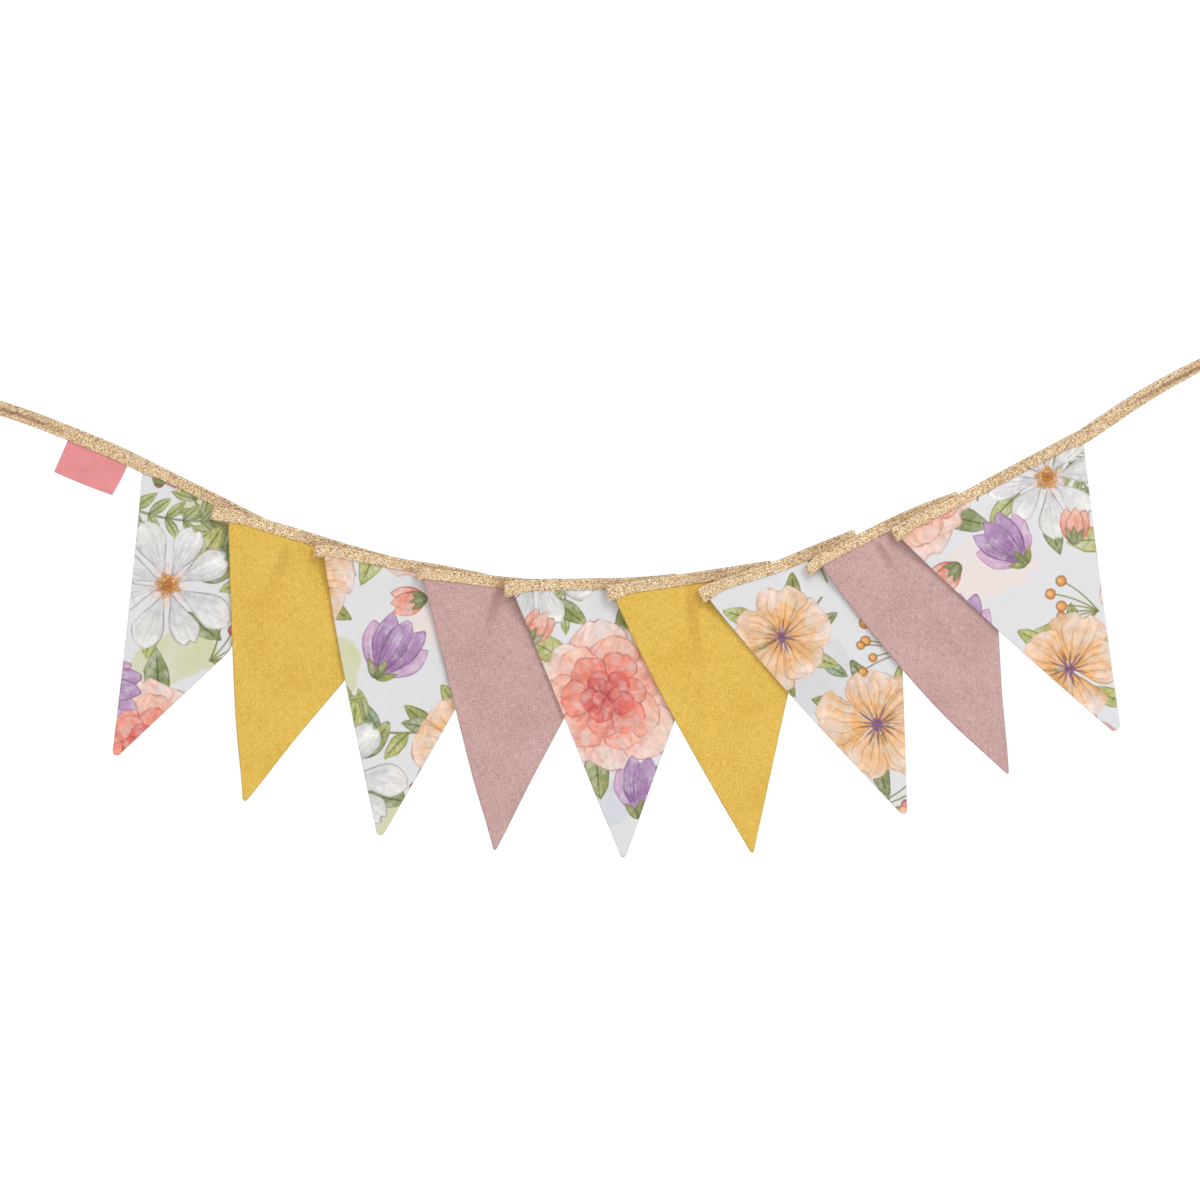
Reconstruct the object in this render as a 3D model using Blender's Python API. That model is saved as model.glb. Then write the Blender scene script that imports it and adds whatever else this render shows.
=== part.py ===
"""A hanging fabric garland: nine cloth flags sewn into a folded gold tape.

The frame has +Z up and the flags face -Y. The origin is on the tape's top edge in the middle of
the garland. One tape runs from end to end. Between two flags it folds back and forward again, so
each flag's left corner lies over the one before it, and that flag's right top corner is folded
forward with the tape. Seen from the side, the tape there has three layers.
"""

import math
from collections import namedtuple

import bpy
from mathutils import Vector

MM = 0.001  # every size below is in millimetres

# The tape, a strip folded lengthwise over the flags' top edges
BARE_HEIGHT = 11.0  # on its own
SEWN_HEIGHT = 8.8  # where it grips a flag
HEIGHT_EASE = 14.0  # from one to the other
TAPE_THICK = 2.8
TAPE_CHAMFER = 0.7  # softens the folded top edge
SLOT_WIDTH = 1.6  # the space that a flag's top edge fills
SLOT_DEPTH = 6.5
SEWN_SHUT = 0.3  # what is left of the slot where the tape holds no cloth
SLOT_END = 0.5  # the slot opens this far before the cloth, over SLOT_RAMP
SLOT_RAMP = 0.4
FOLDED_SLOT_END = 1.8  # and this far past a folded corner, which lies askew in it
LAYER_PITCH = 3.5  # between the middles of two stacked layers
TURN_RADIUS = LAYER_PITCH / 2
TURN_REACH = TURN_RADIUS + TAPE_THICK / 2  # a fold's outer face lies this far past its centre

# The cloth
FLAG_THICK = 1.0
TOP_GAP = 0.5  # between a flag's top edge and the bottom of the slot
BULGE_POWER = 0.75  # a slanted edge is fullest in its upper half
LAYER_MARGIN = 0.8  # a flag starts to change layer this far past its neighbour's fold
END_EASE = 26.0  # the first and last flags change layer over this length
FIRST_EASE_START = 30.0
CORNER_HANG = 2.0  # a folded corner's cloth reaches at least this far below its top edge
CORNER_FADE = 40.0  # and the slanted edge is as before this far down
TROUGH_DEPTH = 0.9
TROUGH_WIDTH = 7.0
TROUGH_FADE = 45.0  # how quickly it flattens further down
TROUGH_START = 30.0  # it is full this far below the tape
SWAY_START = 0.5  # a flag's swing begins this share of the way down
LEAN_START = 0.65  # and its bend to the side here

LABEL_THICK = 1.0
LABEL_TUCK = 4.5  # how much of the label is inside the tape
LABEL_CURL = 5.0  # how strongly its free corner bends forward
LABEL_DRAW_IN = 2.2  # and is drawn in towards the label's middle
LABEL_CURL_START = 1.2  # where that bend begins, as its shares across and down added up
LABEL_COLUMNS = 9
LABEL_ROWS = 5

# Mesh steps
TAPE_STEP = 9.0
COLUMN_STEP = 8.0
EASE_STEP = 3.0  # where cloth and tape change layer together
TURN_STEPS = 6
TIP_STEPS = 6
ROW_SHARES = (0.0, 0.12, 0.3, 0.55, 1.0)  # of a column's length, from the top
SHARP_ANGLE = 40.0  # degrees

# x, z: the left top corner, at the tape's lower edge. tilt: degrees, rising to the right.
# tip: how far along the top edge the point hangs. full_left, full_right: how far the slanted
# edges bulge. fold: where the tape turns back at the right. lead: bare tape left of the corner.
# end: the tape's height at its left fold. dip_left, dip, dip_right: how far the tape's top edge
# sags there, in the middle and at the right fold. sway: how far the point swings forward.
# lean: how far it bends to the right. trough: where a soft crease runs down from the tape.
Flag = namedtuple(
    "Flag",
    "cloth x z tilt width drop tip rounding full_left full_right "
    "fold lead end dip_left dip dip_right sway lean trough",
)
FLAGS = (
    Flag("floral", -343.5, 78.7, -27.1, 151.9, 202.9, 78.3, 3.0, -1.0, -0.4,
         120.0, 0.0, 11.0, 0.0, -0.6, -0.6, 2.0, 0.0, 40.0),
    Flag("ochre", -278.3, 41.5, -17.9, 153.9, 198.3, 72.4, 1.8, 0.9, 0.2,
         123.5, 14.7, 10.5, 2.2, -0.9, -2.7, -1.5, 2.4, 47.0),
    Flag("floral", -206.3, 14.5, -8.6, 151.9, 204.3, 72.3, 3.0, 2.2, -0.7,
         122.0, 9.1, 8.8, 2.2, 2.2, 4.0, 2.5, -0.6, 57.0),
    Flag("mauve", -132.0, -2.8, -5.3, 149.1, 197.8, 69.1, 1.2, 0.0, 2.1,
         121.1, 5.6, 8.8, 2.6, 1.5, -2.0, -2.0, 2.1, 54.0),
    Flag("floral", -64.5, -11.8, 0.9, 158.3, 202.5, 78.3, 2.2, -0.3, -0.9,
         122.5, 7.4, 12.0, 1.9, 0.2, -2.6, 2.0, 0.6, 60.0),
    Flag("ochre", 11.3, -15.2, 8.9, 156.0, 207.0, 72.6, 1.2, 3.5, -2.1,
         119.7, 5.9, 12.0, -0.6, 0.8, 0.8, -2.0, -0.4, 55.0),
    Flag("floral", 81.8, -15.6, 23.4, 153.6, 211.3, 70.8, 2.9, 2.8, 0.3,
         120.5, 5.6, 11.5, 1.2, 5.0, 6.2, 2.5, -0.3, 30.0),
    Flag("mauve", 167.3, 7.7, 25.7, 137.6, 201.8, 55.5, 1.1, 5.4, 1.1,
         115.3, 11.8, 9.2, 3.4, -0.8, 3.0, -1.5, 2.6, 46.0),
    Flag("floral", 225.8, 29.5, 28.6, 155.5, 211.2, 72.6, 4.2, 1.5, -0.5,
         0.0, 4.1, 11.5, -1.0, 2.3, 3.4, 2.5, 0.4, 80.0),
)

# The bare tape at each end, from its free end inwards or outwards: the middle of the tape
Tail = namedtuple("Tail", "x z height")
LEFT_TAIL = (
    Tail(-465.0, 132.4, 10.8),
    Tail(-448.5, 127.1, 11.0),
    Tail(-420.0, 117.3, 10.8),
    Tail(-370.0, 97.3, 11.0),
)
RIGHT_TAIL = (
    Tail(375.0, 114.9, 11.3),
    Tail(401.3, 132.5, 10.7),
    Tail(423.8, 145.9, 9.9),
    Tail(448.5, 159.0, 9.2),
    Tail(465.0, 166.9, 9.1),
)

# The bare label: its left top corner at the tape's lower edge, and its size
Label = namedtuple("Label", "x z tilt width drop")
LABEL = Label(-399.0, 103.6, -23.5, 48.4, 26.0)

# Colour, roughness and metallic value of each finish
FINISHES = {
    "gold": ((0.72, 0.52, 0.25, 1.0), 0.45, 0.6),
    "floral": ((0.80, 0.78, 0.77, 1.0), 0.85, 0.0),
    "ochre": ((0.76, 0.50, 0.10, 1.0), 0.9, 0.0),
    "mauve": ((0.56, 0.35, 0.33, 1.0), 0.9, 0.0),
    "label": ((0.80, 0.28, 0.28, 1.0), 0.7, 0.0),
}

# One cross-section of the tape: its middle, its direction, its up and its slot's depth
Station = namedtuple("Station", "point along up height slot")


def smooth(low, high, value):
    """Rises gently from 0 at low to 1 at high."""
    share = min(max((value - low) / (high - low), 0.0), 1.0)
    return share * share * (3.0 - 2.0 * share)


def mix(a, b, share):
    return a + (b - a) * share


def steps(start, end, step):
    """Evenly spaced values from start to end, no more than step apart."""
    count = max(1, math.ceil(abs(end - start) / step))
    return [mix(start, end, i / count) for i in range(count + 1)]


def direction(flag):
    """The unit vector along a flag's top edge, to the right."""
    angle = math.radians(flag.tilt)
    return Vector((math.cos(angle), 0.0, math.sin(angle)))


def upward(flag):
    angle = math.radians(flag.tilt)
    return Vector((-math.sin(angle), 0.0, math.cos(angle)))


def place(flag, along, up, depth):
    """A point of a flag's own plane, in the garland's frame."""
    corner = Vector((flag.x, 0.0, flag.z))
    return corner + direction(flag) * along + upward(flag) * up + Vector((0.0, depth, 0.0))


def along_of(flag, point):
    """How far along a flag's top edge a point lies."""
    return (point - Vector((flag.x, 0.0, flag.z))).dot(direction(flag))


def turn_centre(flag):
    return flag.fold - TURN_REACH


def lead_centre(flag):
    return TURN_REACH - flag.lead


def tape_top(flag, along):
    """How high the tape's top edge is over the line of a flag's top corners."""
    middle = flag.width * 0.45
    end = flag.fold or flag.width
    if along < 0.0:
        dip = mix(flag.dip_left, 0.0, smooth(-max(flag.lead, SLOT_END), 0.0, along))
    elif along < middle:
        dip = mix(0.0, flag.dip, smooth(0.0, middle, along))
    else:
        dip = mix(flag.dip, flag.dip_right, ((along - middle) / (end - middle)) ** 2)
    return BARE_HEIGHT - dip


def tape_height(flag, along):
    """The tape is tall where it is bare, and pulled lower where it grips the cloth."""
    height = mix(flag.end, SEWN_HEIGHT, smooth(-SLOT_END, HEIGHT_EASE, along))
    if flag.fold:
        return height
    return mix(height, BARE_HEIGHT, smooth(flag.width - HEIGHT_EASE, flag.width, along))


def tape_rise(flag, along):
    """How high the tape's middle is over the line of a flag's top corners."""
    return tape_top(flag, along) - tape_height(flag, along) / 2


def layer_span(index):
    """Where flag number index leaves its left layer, and where it has reached its right one."""
    flag = FLAGS[index]
    if index == 0:
        start = FIRST_EASE_START
    else:
        before = FLAGS[index - 1]
        start = along_of(flag, place(before, before.fold, 0.0, 0.0)) + LAYER_MARGIN
    if index == len(FLAGS) - 1:
        return start, start + END_EASE
    after = FLAGS[index + 1]
    end = along_of(flag, place(after, -after.lead, 0.0, 0.0)) - LAYER_MARGIN
    return start, end


def depth_at(index, along):
    """The y of a flag's middle layer: it comes from the front and goes to the back."""
    first = 0.0 if index == 0 else -LAYER_PITCH
    last = 0.0 if index == len(FLAGS) - 1 else LAYER_PITCH
    start, end = layer_span(index)
    return mix(first, last, smooth(start, end, along))


def depth_slope(index, along):
    reach = 0.05
    return (depth_at(index, along + reach) - depth_at(index, along - reach)) / (2 * reach)


def run_places(index, start, end, step):
    """Places along a flag's top edge, close together where it changes layer."""
    low, high = layer_span(index)
    return steps(start, low, step) + steps(low, high, EASE_STEP)[1:] + steps(high, end, step)[1:]


def folded(index, flat):
    """Follows a flag's top edge round its fold: where it is, its depth and its heading."""
    flag = FLAGS[index]
    turn = turn_centre(flag)
    if not flag.fold or flat <= turn:
        return flat, depth_at(index, flat), math.atan(-depth_slope(index, flat))
    angle = (flat - turn) / TURN_RADIUS
    if angle <= math.pi:
        sideways = TURN_RADIUS * math.sin(angle)
        return turn + sideways, LAYER_PITCH - TURN_RADIUS * (1.0 - math.cos(angle)), angle
    return turn - (flat - turn - math.pi * TURN_RADIUS), 0.0, math.pi


def heading_vector(flag, angle):
    """Turns a flag's direction towards the front, by an angle about its up."""
    return direction(flag) * math.cos(angle) + Vector((0.0, -math.sin(angle), 0.0))


def run_stations(index):
    """The tape along one flag, from its left fold to its right one."""
    flag = FLAGS[index]
    start = lead_centre(flag) if index else 0.0
    end = turn_centre(flag) if flag.fold else flag.width + SLOT_END
    opened = max(start, -SLOT_END)
    places = [start] if opened - start < SLOT_RAMP else [start, opened - SLOT_RAMP]
    places += run_places(index, opened, end, TAPE_STEP)
    result = []
    for along in places:
        slope = depth_slope(index, along)
        point = place(flag, along, tape_rise(flag, along), depth_at(index, along))
        heading = heading_vector(flag, math.atan(-slope))
        slot = SLOT_DEPTH if along >= opened else SEWN_SHUT
        result.append(Station(point, heading, upward(flag), tape_height(flag, along), slot))
    return result


def turn_stations(flag, centre, start_depth, right, slot):
    """The tape's half circle at a fold, from one layer to the next one forward."""
    rise, height = tape_rise(flag, centre), tape_height(flag, centre)
    result = []
    for i in range(1, TURN_STEPS):
        angle = math.pi * i / TURN_STEPS
        side = math.sin(angle) * TURN_RADIUS * (1 if right else -1)
        depth = start_depth - TURN_RADIUS * (1.0 - math.cos(angle))
        heading = heading_vector(flag, angle if right else math.pi - angle)
        result.append(Station(place(flag, centre + side, rise, depth), heading, upward(flag), height, slot))
    return result


def middle_stations(index):
    """The tape between two flags, running back to the left behind the next flag."""
    flag, after = FLAGS[index], FLAGS[index + 1]
    right = place(flag, turn_centre(flag), tape_rise(flag, turn_centre(flag)), 0.0)
    left = place(after, lead_centre(after), tape_rise(after, lead_centre(after)), 0.0)
    length = (right - left).length
    cloth = (flag.width - turn_centre(flag) - math.pi * TURN_RADIUS + FOLDED_SLOT_END) / length
    shut = cloth + SLOT_RAMP / length
    shares = steps(0.0, cloth, TAPE_STEP / length) + steps(shut, 1.0, TAPE_STEP / length)
    heights = tape_height(flag, turn_centre(flag)), tape_height(after, lead_centre(after))
    result = []
    for share in shares:
        up = mix(upward(flag), upward(after), share).normalized()
        along = mix(-direction(flag), -direction(after), share).normalized()
        slot = SLOT_DEPTH if share <= cloth else SEWN_SHUT
        result.append(Station(mix(right, left, share), along, up, mix(*heights, share), slot))
    return result


def curve_through(points, step):
    """Points on a smooth curve through the given ones, each with its value and direction."""
    result = []
    padded = [points[0] * 2 - points[1]] + points + [points[-1] * 2 - points[-2]]
    for i in range(1, len(padded) - 2):
        a, b, c, d = padded[i - 1 : i + 3]
        count = max(1, round((c - b).length / step))
        for k in range(count + (i == len(padded) - 3)):
            t = k / count
            square, cube = 2 * a - 5 * b + 4 * c - d, 3 * b - a - 3 * c + d
            point = 0.5 * (2 * b + (c - a) * t + square * t**2 + cube * t**3)
            slope = 0.5 * ((c - a) + 2 * square * t + 3 * cube * t**2)
            result.append((point, slope.normalized(), i - 1 + t))
    return result


def tail_stations(tail, joins_right):
    """The bare tape of one end. joins_right: its last point is on the first flag."""
    flag = FLAGS[0] if joins_right else FLAGS[-1]
    join_along = 0.0 if joins_right else flag.width + SLOT_END
    join = place(flag, join_along, tape_rise(flag, join_along), 0.0)
    points = [Vector((row.x, 0.0, row.z)) for row in tail]
    heights = [row.height for row in tail]
    join_at = len(points) if joins_right else 0
    points.insert(join_at, join)
    heights.insert(join_at, tape_height(flag, join_along))
    result = []
    for point, along, value in curve_through(points, TAPE_STEP):
        low = min(int(value), len(heights) - 2)
        height = mix(heights[low], heights[low + 1], value - low)
        up = Vector((-along.z, 0.0, along.x))
        result.append(Station(point, along, up, height, SEWN_SHUT))
    return with_label_slot(result) if joins_right else result


def label_span():
    """The label's two ends, along X."""
    reach = LABEL.width * math.cos(math.radians(LABEL.tilt))
    lean = LABEL_TUCK * math.sin(math.radians(-LABEL.tilt))
    return LABEL.x - SLOT_END, LABEL.x + reach + lean + SLOT_END


def with_label_slot(stations):
    """Opens the tape's slot where the label's top edge is sewn in."""
    low, high = label_span()
    for edge in (low - SLOT_RAMP, low, high, high + SLOT_RAMP):
        after = next(i for i, s in enumerate(stations) if s.point.x > edge)
        a, b = stations[after - 1], stations[after]
        share = (edge - a.point.x) / (b.point.x - a.point.x)
        along = mix(a.along, b.along, share).normalized()
        up = mix(a.up, b.up, share).normalized()
        point, height = mix(a.point, b.point, share), mix(a.height, b.height, share)
        stations.insert(after, Station(point, along, up, height, SEWN_SHUT))
    near = SLOT_RAMP / 4
    return [s._replace(slot=SLOT_DEPTH) if low - near <= s.point.x <= high + near else s for s in stations]


def tape_stations():
    """The whole tape, from its left end to its right one."""
    result = tail_stations(LEFT_TAIL, True)[:-1]
    for index, flag in enumerate(FLAGS):
        result += run_stations(index)
        if not flag.fold:
            continue
        after = FLAGS[index + 1]
        result += turn_stations(flag, turn_centre(flag), LAYER_PITCH, True, SLOT_DEPTH)
        result += middle_stations(index)
        result += turn_stations(after, lead_centre(after), 0.0, False, SEWN_SHUT)
    return result + tail_stations(RIGHT_TAIL, False)[1:]


def tape_section(height, slot):
    """The tape's outline: across its thickness, and up from its middle."""
    half, thick, gap, cut = height / 2, TAPE_THICK / 2, SLOT_WIDTH / 2, TAPE_CHAMFER
    return (
        (thick, -half),
        (thick, half - cut),
        (thick - cut, half),
        (cut - thick, half),
        (-thick, half - cut),
        (-thick, -half),
        (-gap, -half),
        (-gap, slot - half),
        (gap, slot - half),
        (gap, -half),
    )


def new_object(name, points, faces, finish):
    """One closed body, with its faces pointing out and its own material."""
    mesh = bpy.data.meshes.new(name)
    mesh.from_pydata([p * MM for p in points], [], faces)
    mesh.validate()
    mesh.shade_smooth()
    mesh.set_sharp_from_angle(angle=math.radians(SHARP_ANGLE))
    material = bpy.data.materials.new(name)
    material.use_nodes = True
    colour, roughness, metallic = FINISHES[finish]
    shader = material.node_tree.nodes["Principled BSDF"]
    shader.inputs["Base Color"].default_value = colour
    shader.inputs["Roughness"].default_value = roughness
    shader.inputs["Metallic"].default_value = metallic
    mesh.materials.append(material)
    made = bpy.data.objects.new(name, mesh)
    bpy.context.scene.collection.objects.link(made)
    return made


def build_tape():
    points, faces = [], []
    stations = tape_stations()
    for station in stations:
        across = station.along.cross(station.up).normalized()
        for side, up in tape_section(station.height, station.slot):
            points.append(station.point + across * side + station.up * up)
    size = len(tape_section(BARE_HEIGHT, SEWN_SHUT))
    for row in range(len(stations) - 1):
        for i in range(size):
            j = (i + 1) % size
            a, b = row * size, (row + 1) * size
            faces.append((a + i, b + i, b + j, a + j))
    last = (len(stations) - 1) * size
    faces.append(tuple(range(size)))
    faces.append(tuple(last + i for i in reversed(range(size))))
    return new_object("tape", points, faces, "gold")


def edge_slopes(flag):
    return flag.drop / flag.tip, flag.drop / (flag.width - flag.tip)


def tip_circle(flag):
    """The rounding of a flag's point: its centre, and where it meets the two edges."""
    left, right = edge_slopes(flag)
    long_left, long_right = math.hypot(1, left), math.hypot(1, right)
    centre = (right * flag.width + flag.rounding * (long_left - long_right)) / (left + right)
    drop = left * centre - flag.rounding * long_left
    meets_left = centre - flag.rounding * left / long_left
    meets_right = centre + flag.rounding * right / long_right
    return centre, drop, meets_left, meets_right


def flag_edge(flag, along):
    """How far a flag's cloth hangs below its top corners, at a place along them."""
    left, right = edge_slopes(flag)
    centre, drop, meets_left, meets_right = tip_circle(flag)
    if along < meets_left:
        full = flag.full_left * math.sin(math.pi * (along / meets_left) ** BULGE_POWER)
        return left * along + full * math.hypot(1, left)
    if along > meets_right:
        share = (flag.width - along) / (flag.width - meets_right)
        full = flag.full_right * math.sin(math.pi * share**BULGE_POWER)
        return right * (flag.width - along) + full * math.hypot(1, right)
    return drop + math.sqrt(max(0.0, flag.rounding**2 - (along - centre) ** 2))


def flag_columns(index):
    """Where a flag's columns of points lie along its top edge, laid flat."""
    flag = FLAGS[index]
    centre, _, meets_left, meets_right = tip_circle(flag)
    first, last = (math.acos((meets - centre) / flag.rounding) for meets in (meets_left, meets_right))
    angles = steps(first, last, (first - last) / TIP_STEPS)
    rounded = [centre + flag.rounding * math.cos(angle) for angle in angles]
    clear = EASE_STEP / 4
    plain = run_places(index, 0.0, flag.width, COLUMN_STEP)
    columns = [c for c in plain if min(abs(c - r) for r in rounded) > clear] + rounded
    if flag.fold:
        turn = turn_centre(flag)
        arc = [turn + math.pi * TURN_RADIUS * i / TURN_STEPS for i in range(TURN_STEPS + 1)]
        columns = [c for c in columns if c < arc[0] - clear or c > arc[-1] + clear] + arc
    return sorted(columns)


def flag_top(index, flat):
    """How high a flag's top edge reaches into the tape's slot."""
    flag = FLAGS[index]
    turn = turn_centre(flag)
    lift = SLOT_DEPTH - TOP_GAP
    if not flag.fold or flat <= turn + math.pi * TURN_RADIUS:
        along = min(flat, turn) if flag.fold else flat
        return tape_top(flag, along) - tape_height(flag, along) + lift
    stations = middle_stations(index)
    low_edges = [s.point - s.up * (s.height / 2) for s in (stations[0], stations[-1])]
    right, left = (edge - Vector((flag.x, 0.0, flag.z)) for edge in low_edges)
    run = (right - left).dot(direction(flag))
    share = (flat - turn - math.pi * TURN_RADIUS) / run
    return mix(right.dot(upward(flag)), left.dot(upward(flag)), share) + lift


def flag_forward(flag, flat, down):
    """How far the cloth stands forward of its layer: a soft trough, and the point's swing."""
    swing = flag.sway * smooth(SWAY_START, 1.0, down / flag.drop)
    across = math.exp(-(((flat - flag.trough) / TROUGH_WIDTH) ** 2))
    along = smooth(0.0, TROUGH_START, down) * math.exp(-max(down, 0.0) / TROUGH_FADE)
    return swing - TROUGH_DEPTH * across * along


def corner_sink(index, flat, down):
    """How much lower a corner is cut where the tape sags over it, so that it stays inside."""
    sunk = max(0.0, CORNER_HANG - flag_top(index, flat))
    return sunk * max(0.0, 1.0 - down / CORNER_FADE)


def flag_lean(flag, down):
    """How far the cloth bends to the right near its point."""
    return flag.lean * smooth(LEAN_START, 1.0, down / flag.drop)


def build_flag(index):
    flag = FLAGS[index]
    columns = flag_columns(index)
    rows = len(ROW_SHARES)
    sides = ([], [])
    for flat in columns:
        along, depth, angle = folded(index, flat)
        across = heading_vector(flag, angle).cross(upward(flag))
        edge = flag_edge(flag, flat)
        top, bottom = flag_top(index, flat), -edge - corner_sink(index, flat, edge)
        for share in ROW_SHARES:
            up = mix(top, bottom, share)
            forward = flag_forward(flag, flat, -up)
            middle = place(flag, along + flag_lean(flag, -up), up, depth - forward)
            sides[0].append(middle + across * (FLAG_THICK / 2))
            sides[1].append(middle - across * (FLAG_THICK / 2))
    return new_object(f"flag_{index + 1}", *closed_sheet(sides, len(columns), rows), flag.cloth)


def closed_sheet(sides, columns, rows):
    """The points and faces of a sheet with a front, a back and a rim."""
    count = columns * rows
    faces = []
    for c in range(columns - 1):
        for r in range(rows - 1):
            a = c * rows + r
            quad = (a, a + 1, a + rows + 1, a + rows)
            faces.append(quad)
            faces.append(tuple(count + i for i in reversed(quad)))
    rim = [c * rows for c in range(columns)]
    rim += [(columns - 1) * rows + r for r in range(1, rows)]
    rim += [c * rows + rows - 1 for c in reversed(range(columns - 1))]
    rim += [r for r in reversed(range(1, rows - 1))]
    for i, a in enumerate(rim):
        b = rim[(i + 1) % len(rim)]
        faces.append((a, b, count + b, count + a))
    return sides[0] + sides[1], faces


def build_label():
    """A bare piece of ribbon with its top edge in the tape and one corner curling forward."""
    angle = math.radians(LABEL.tilt)
    along = Vector((math.cos(angle), 0.0, math.sin(angle)))
    up = Vector((-math.sin(angle), 0.0, math.cos(angle)))
    corner = Vector((LABEL.x, 0.0, LABEL.z))
    sides = ([], [])
    for c in range(LABEL_COLUMNS):
        for r in range(LABEL_ROWS):
            right, down = c / (LABEL_COLUMNS - 1), r / (LABEL_ROWS - 1)
            lift = mix(LABEL_TUCK, -LABEL.drop, down)
            bend = max(0.0, right + down - LABEL_CURL_START) ** 2
            curl, drawn = LABEL_CURL * bend, LABEL_DRAW_IN * bend
            middle = corner + along * (LABEL.width * right - drawn) + up * (lift + drawn)
            sides[0].append(middle + Vector((0.0, -curl - LABEL_THICK / 2, 0.0)))
            sides[1].append(middle + Vector((0.0, -curl + LABEL_THICK / 2, 0.0)))
    return new_object("label", *closed_sheet(sides, LABEL_COLUMNS, LABEL_ROWS), "label")


def main():
    for old in list(bpy.data.objects):
        bpy.data.objects.remove(old)
    build_tape()
    for index in range(len(FLAGS)):
        build_flag(index)
    build_label()


main()
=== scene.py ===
"""The looks of a hanging fabric garland: its cloth, print, glittering tape, label, light and camera.

The tables and the functions that lay out the tape and the flags repeat the solids' own, in
millimetres, so each piece lies where its solid is. The origin is on the tape's top edge in the
middle, +Z is up and the flags face -Y.
"""

import math
from collections import namedtuple

import bpy
import numpy as np
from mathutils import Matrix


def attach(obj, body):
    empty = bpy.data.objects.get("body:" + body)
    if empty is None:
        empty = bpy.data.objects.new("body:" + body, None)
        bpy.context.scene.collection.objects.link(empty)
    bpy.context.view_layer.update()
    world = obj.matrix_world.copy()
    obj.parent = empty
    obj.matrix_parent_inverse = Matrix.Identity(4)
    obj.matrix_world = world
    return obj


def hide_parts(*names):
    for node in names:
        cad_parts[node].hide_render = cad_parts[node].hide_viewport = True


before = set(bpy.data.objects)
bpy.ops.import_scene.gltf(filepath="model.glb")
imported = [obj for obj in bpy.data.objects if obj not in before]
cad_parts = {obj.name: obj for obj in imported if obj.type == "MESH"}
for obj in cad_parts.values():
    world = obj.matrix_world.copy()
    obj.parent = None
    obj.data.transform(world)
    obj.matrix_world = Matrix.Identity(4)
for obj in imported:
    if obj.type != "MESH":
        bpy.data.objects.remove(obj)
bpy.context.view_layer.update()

MM = 0.001  # every size below is in millimetres

# The tape and how it folds, as in the solids
BARE_HEIGHT = 11.0
SEWN_HEIGHT = 8.8
HEIGHT_EASE = 14.0
TAPE_THICK = 2.8
SLOT_DEPTH = 6.5
SLOT_END = 0.5
LAYER_PITCH = 3.5
TURN_RADIUS = LAYER_PITCH / 2
TURN_REACH = TURN_RADIUS + TAPE_THICK / 2

# The cloth, as in the solids
TOP_GAP = 0.5
BULGE_POWER = 0.75
LAYER_MARGIN = 0.8
END_EASE = 26.0
FIRST_EASE_START = 30.0
CORNER_HANG = 2.0
CORNER_FADE = 40.0
TROUGH_DEPTH = 0.9
TROUGH_WIDTH = 7.0
TROUGH_FADE = 45.0
TROUGH_START = 30.0
SWAY_START = 0.5
LEAN_START = 0.65
LABEL_TUCK = 4.5
LABEL_CURL = 5.0
LABEL_DRAW_IN = 2.2
LABEL_CURL_START = 1.2

# The finer make of the tape: its cloth is turned in along both lower edges
TAPE_CLOTH = 0.34
TAPE_TURNED_GAP = 0.06  # between the outer layer and the turned-in one
TAPE_TURNED_SHORT = 1.9  # the turned-in cloth ends this far below the tape's top edge
TAPE_PINCH = 0.18  # how much thinner the sewn lower edge is, on each face
INNER_PLACES = (1.0, 0.55, 0.15)  # shares of the way up the turned-in cloth, from its cut edge
TURNED_ANGLES = (10.0, 60.0, 120.0, 170.0)  # round the turned-in edge, in degrees
OUTER_PLACES = (0.12, 0.4, 0.7, 1.0)  # shares of the way up the outer layer
CROWN_ANGLES = (22.0, 45.0, 68.0, 90.0)  # round one half of the top, in degrees
TAPE_STEP = 1.6
TAPE_WOBBLE = 0.12  # how unevenly the tape is sewn
WOBBLE_SIZE = 17.0
EASE_STEP = 1.4
TURN_STEPS = 14
SEAM_UP = 1.7  # from the tape's lower edge to its row of stitches
STITCH_PITCH = 3.0
STITCH_LENGTH = 2.3
STITCH_RADIUS = 0.17
STITCH_SIDES = 6
STITCH_SHAPE = ((-0.5, 0.0), (-0.42, 0.7), (-0.2, 1.0), (0.2, 1.0), (0.42, 0.7), (0.5, 0.0))  # place, swell
STITCH_END = 0.3  # how thick its ends are
STITCH_UNEVEN = 0.06  # how far its middle strays, as a share of its length
STITCH_STRAY = 7.3  # how fast that changes along the tape, in radians a millimetre
STITCH_PINCH = 0.85  # the share of the pinch that the tape has at the stitches
TAIL_GROOVE = (385.0, 430.0)  # the bare tape gets a stripe of painted shade along its middle, as if hollow, fully so this far out
TAPE_TUCK_SHADE = 0.45  # painted shade: how much darker and browner the tape is made in the layer at the back, where less light reaches
TAPE_SHADE = (0.52, 0.44, 0.38)  # painted shade: what the grains' colour is multiplied by where they catch least light
CREASE_SHADE = (0.86, 0.83, 0.80)  # painted shade for the linen at the bottom of a full crease: what its colour is multiplied by there
CREASE_FULL = 3.6  # the depth at which a crease is shaded fully

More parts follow.
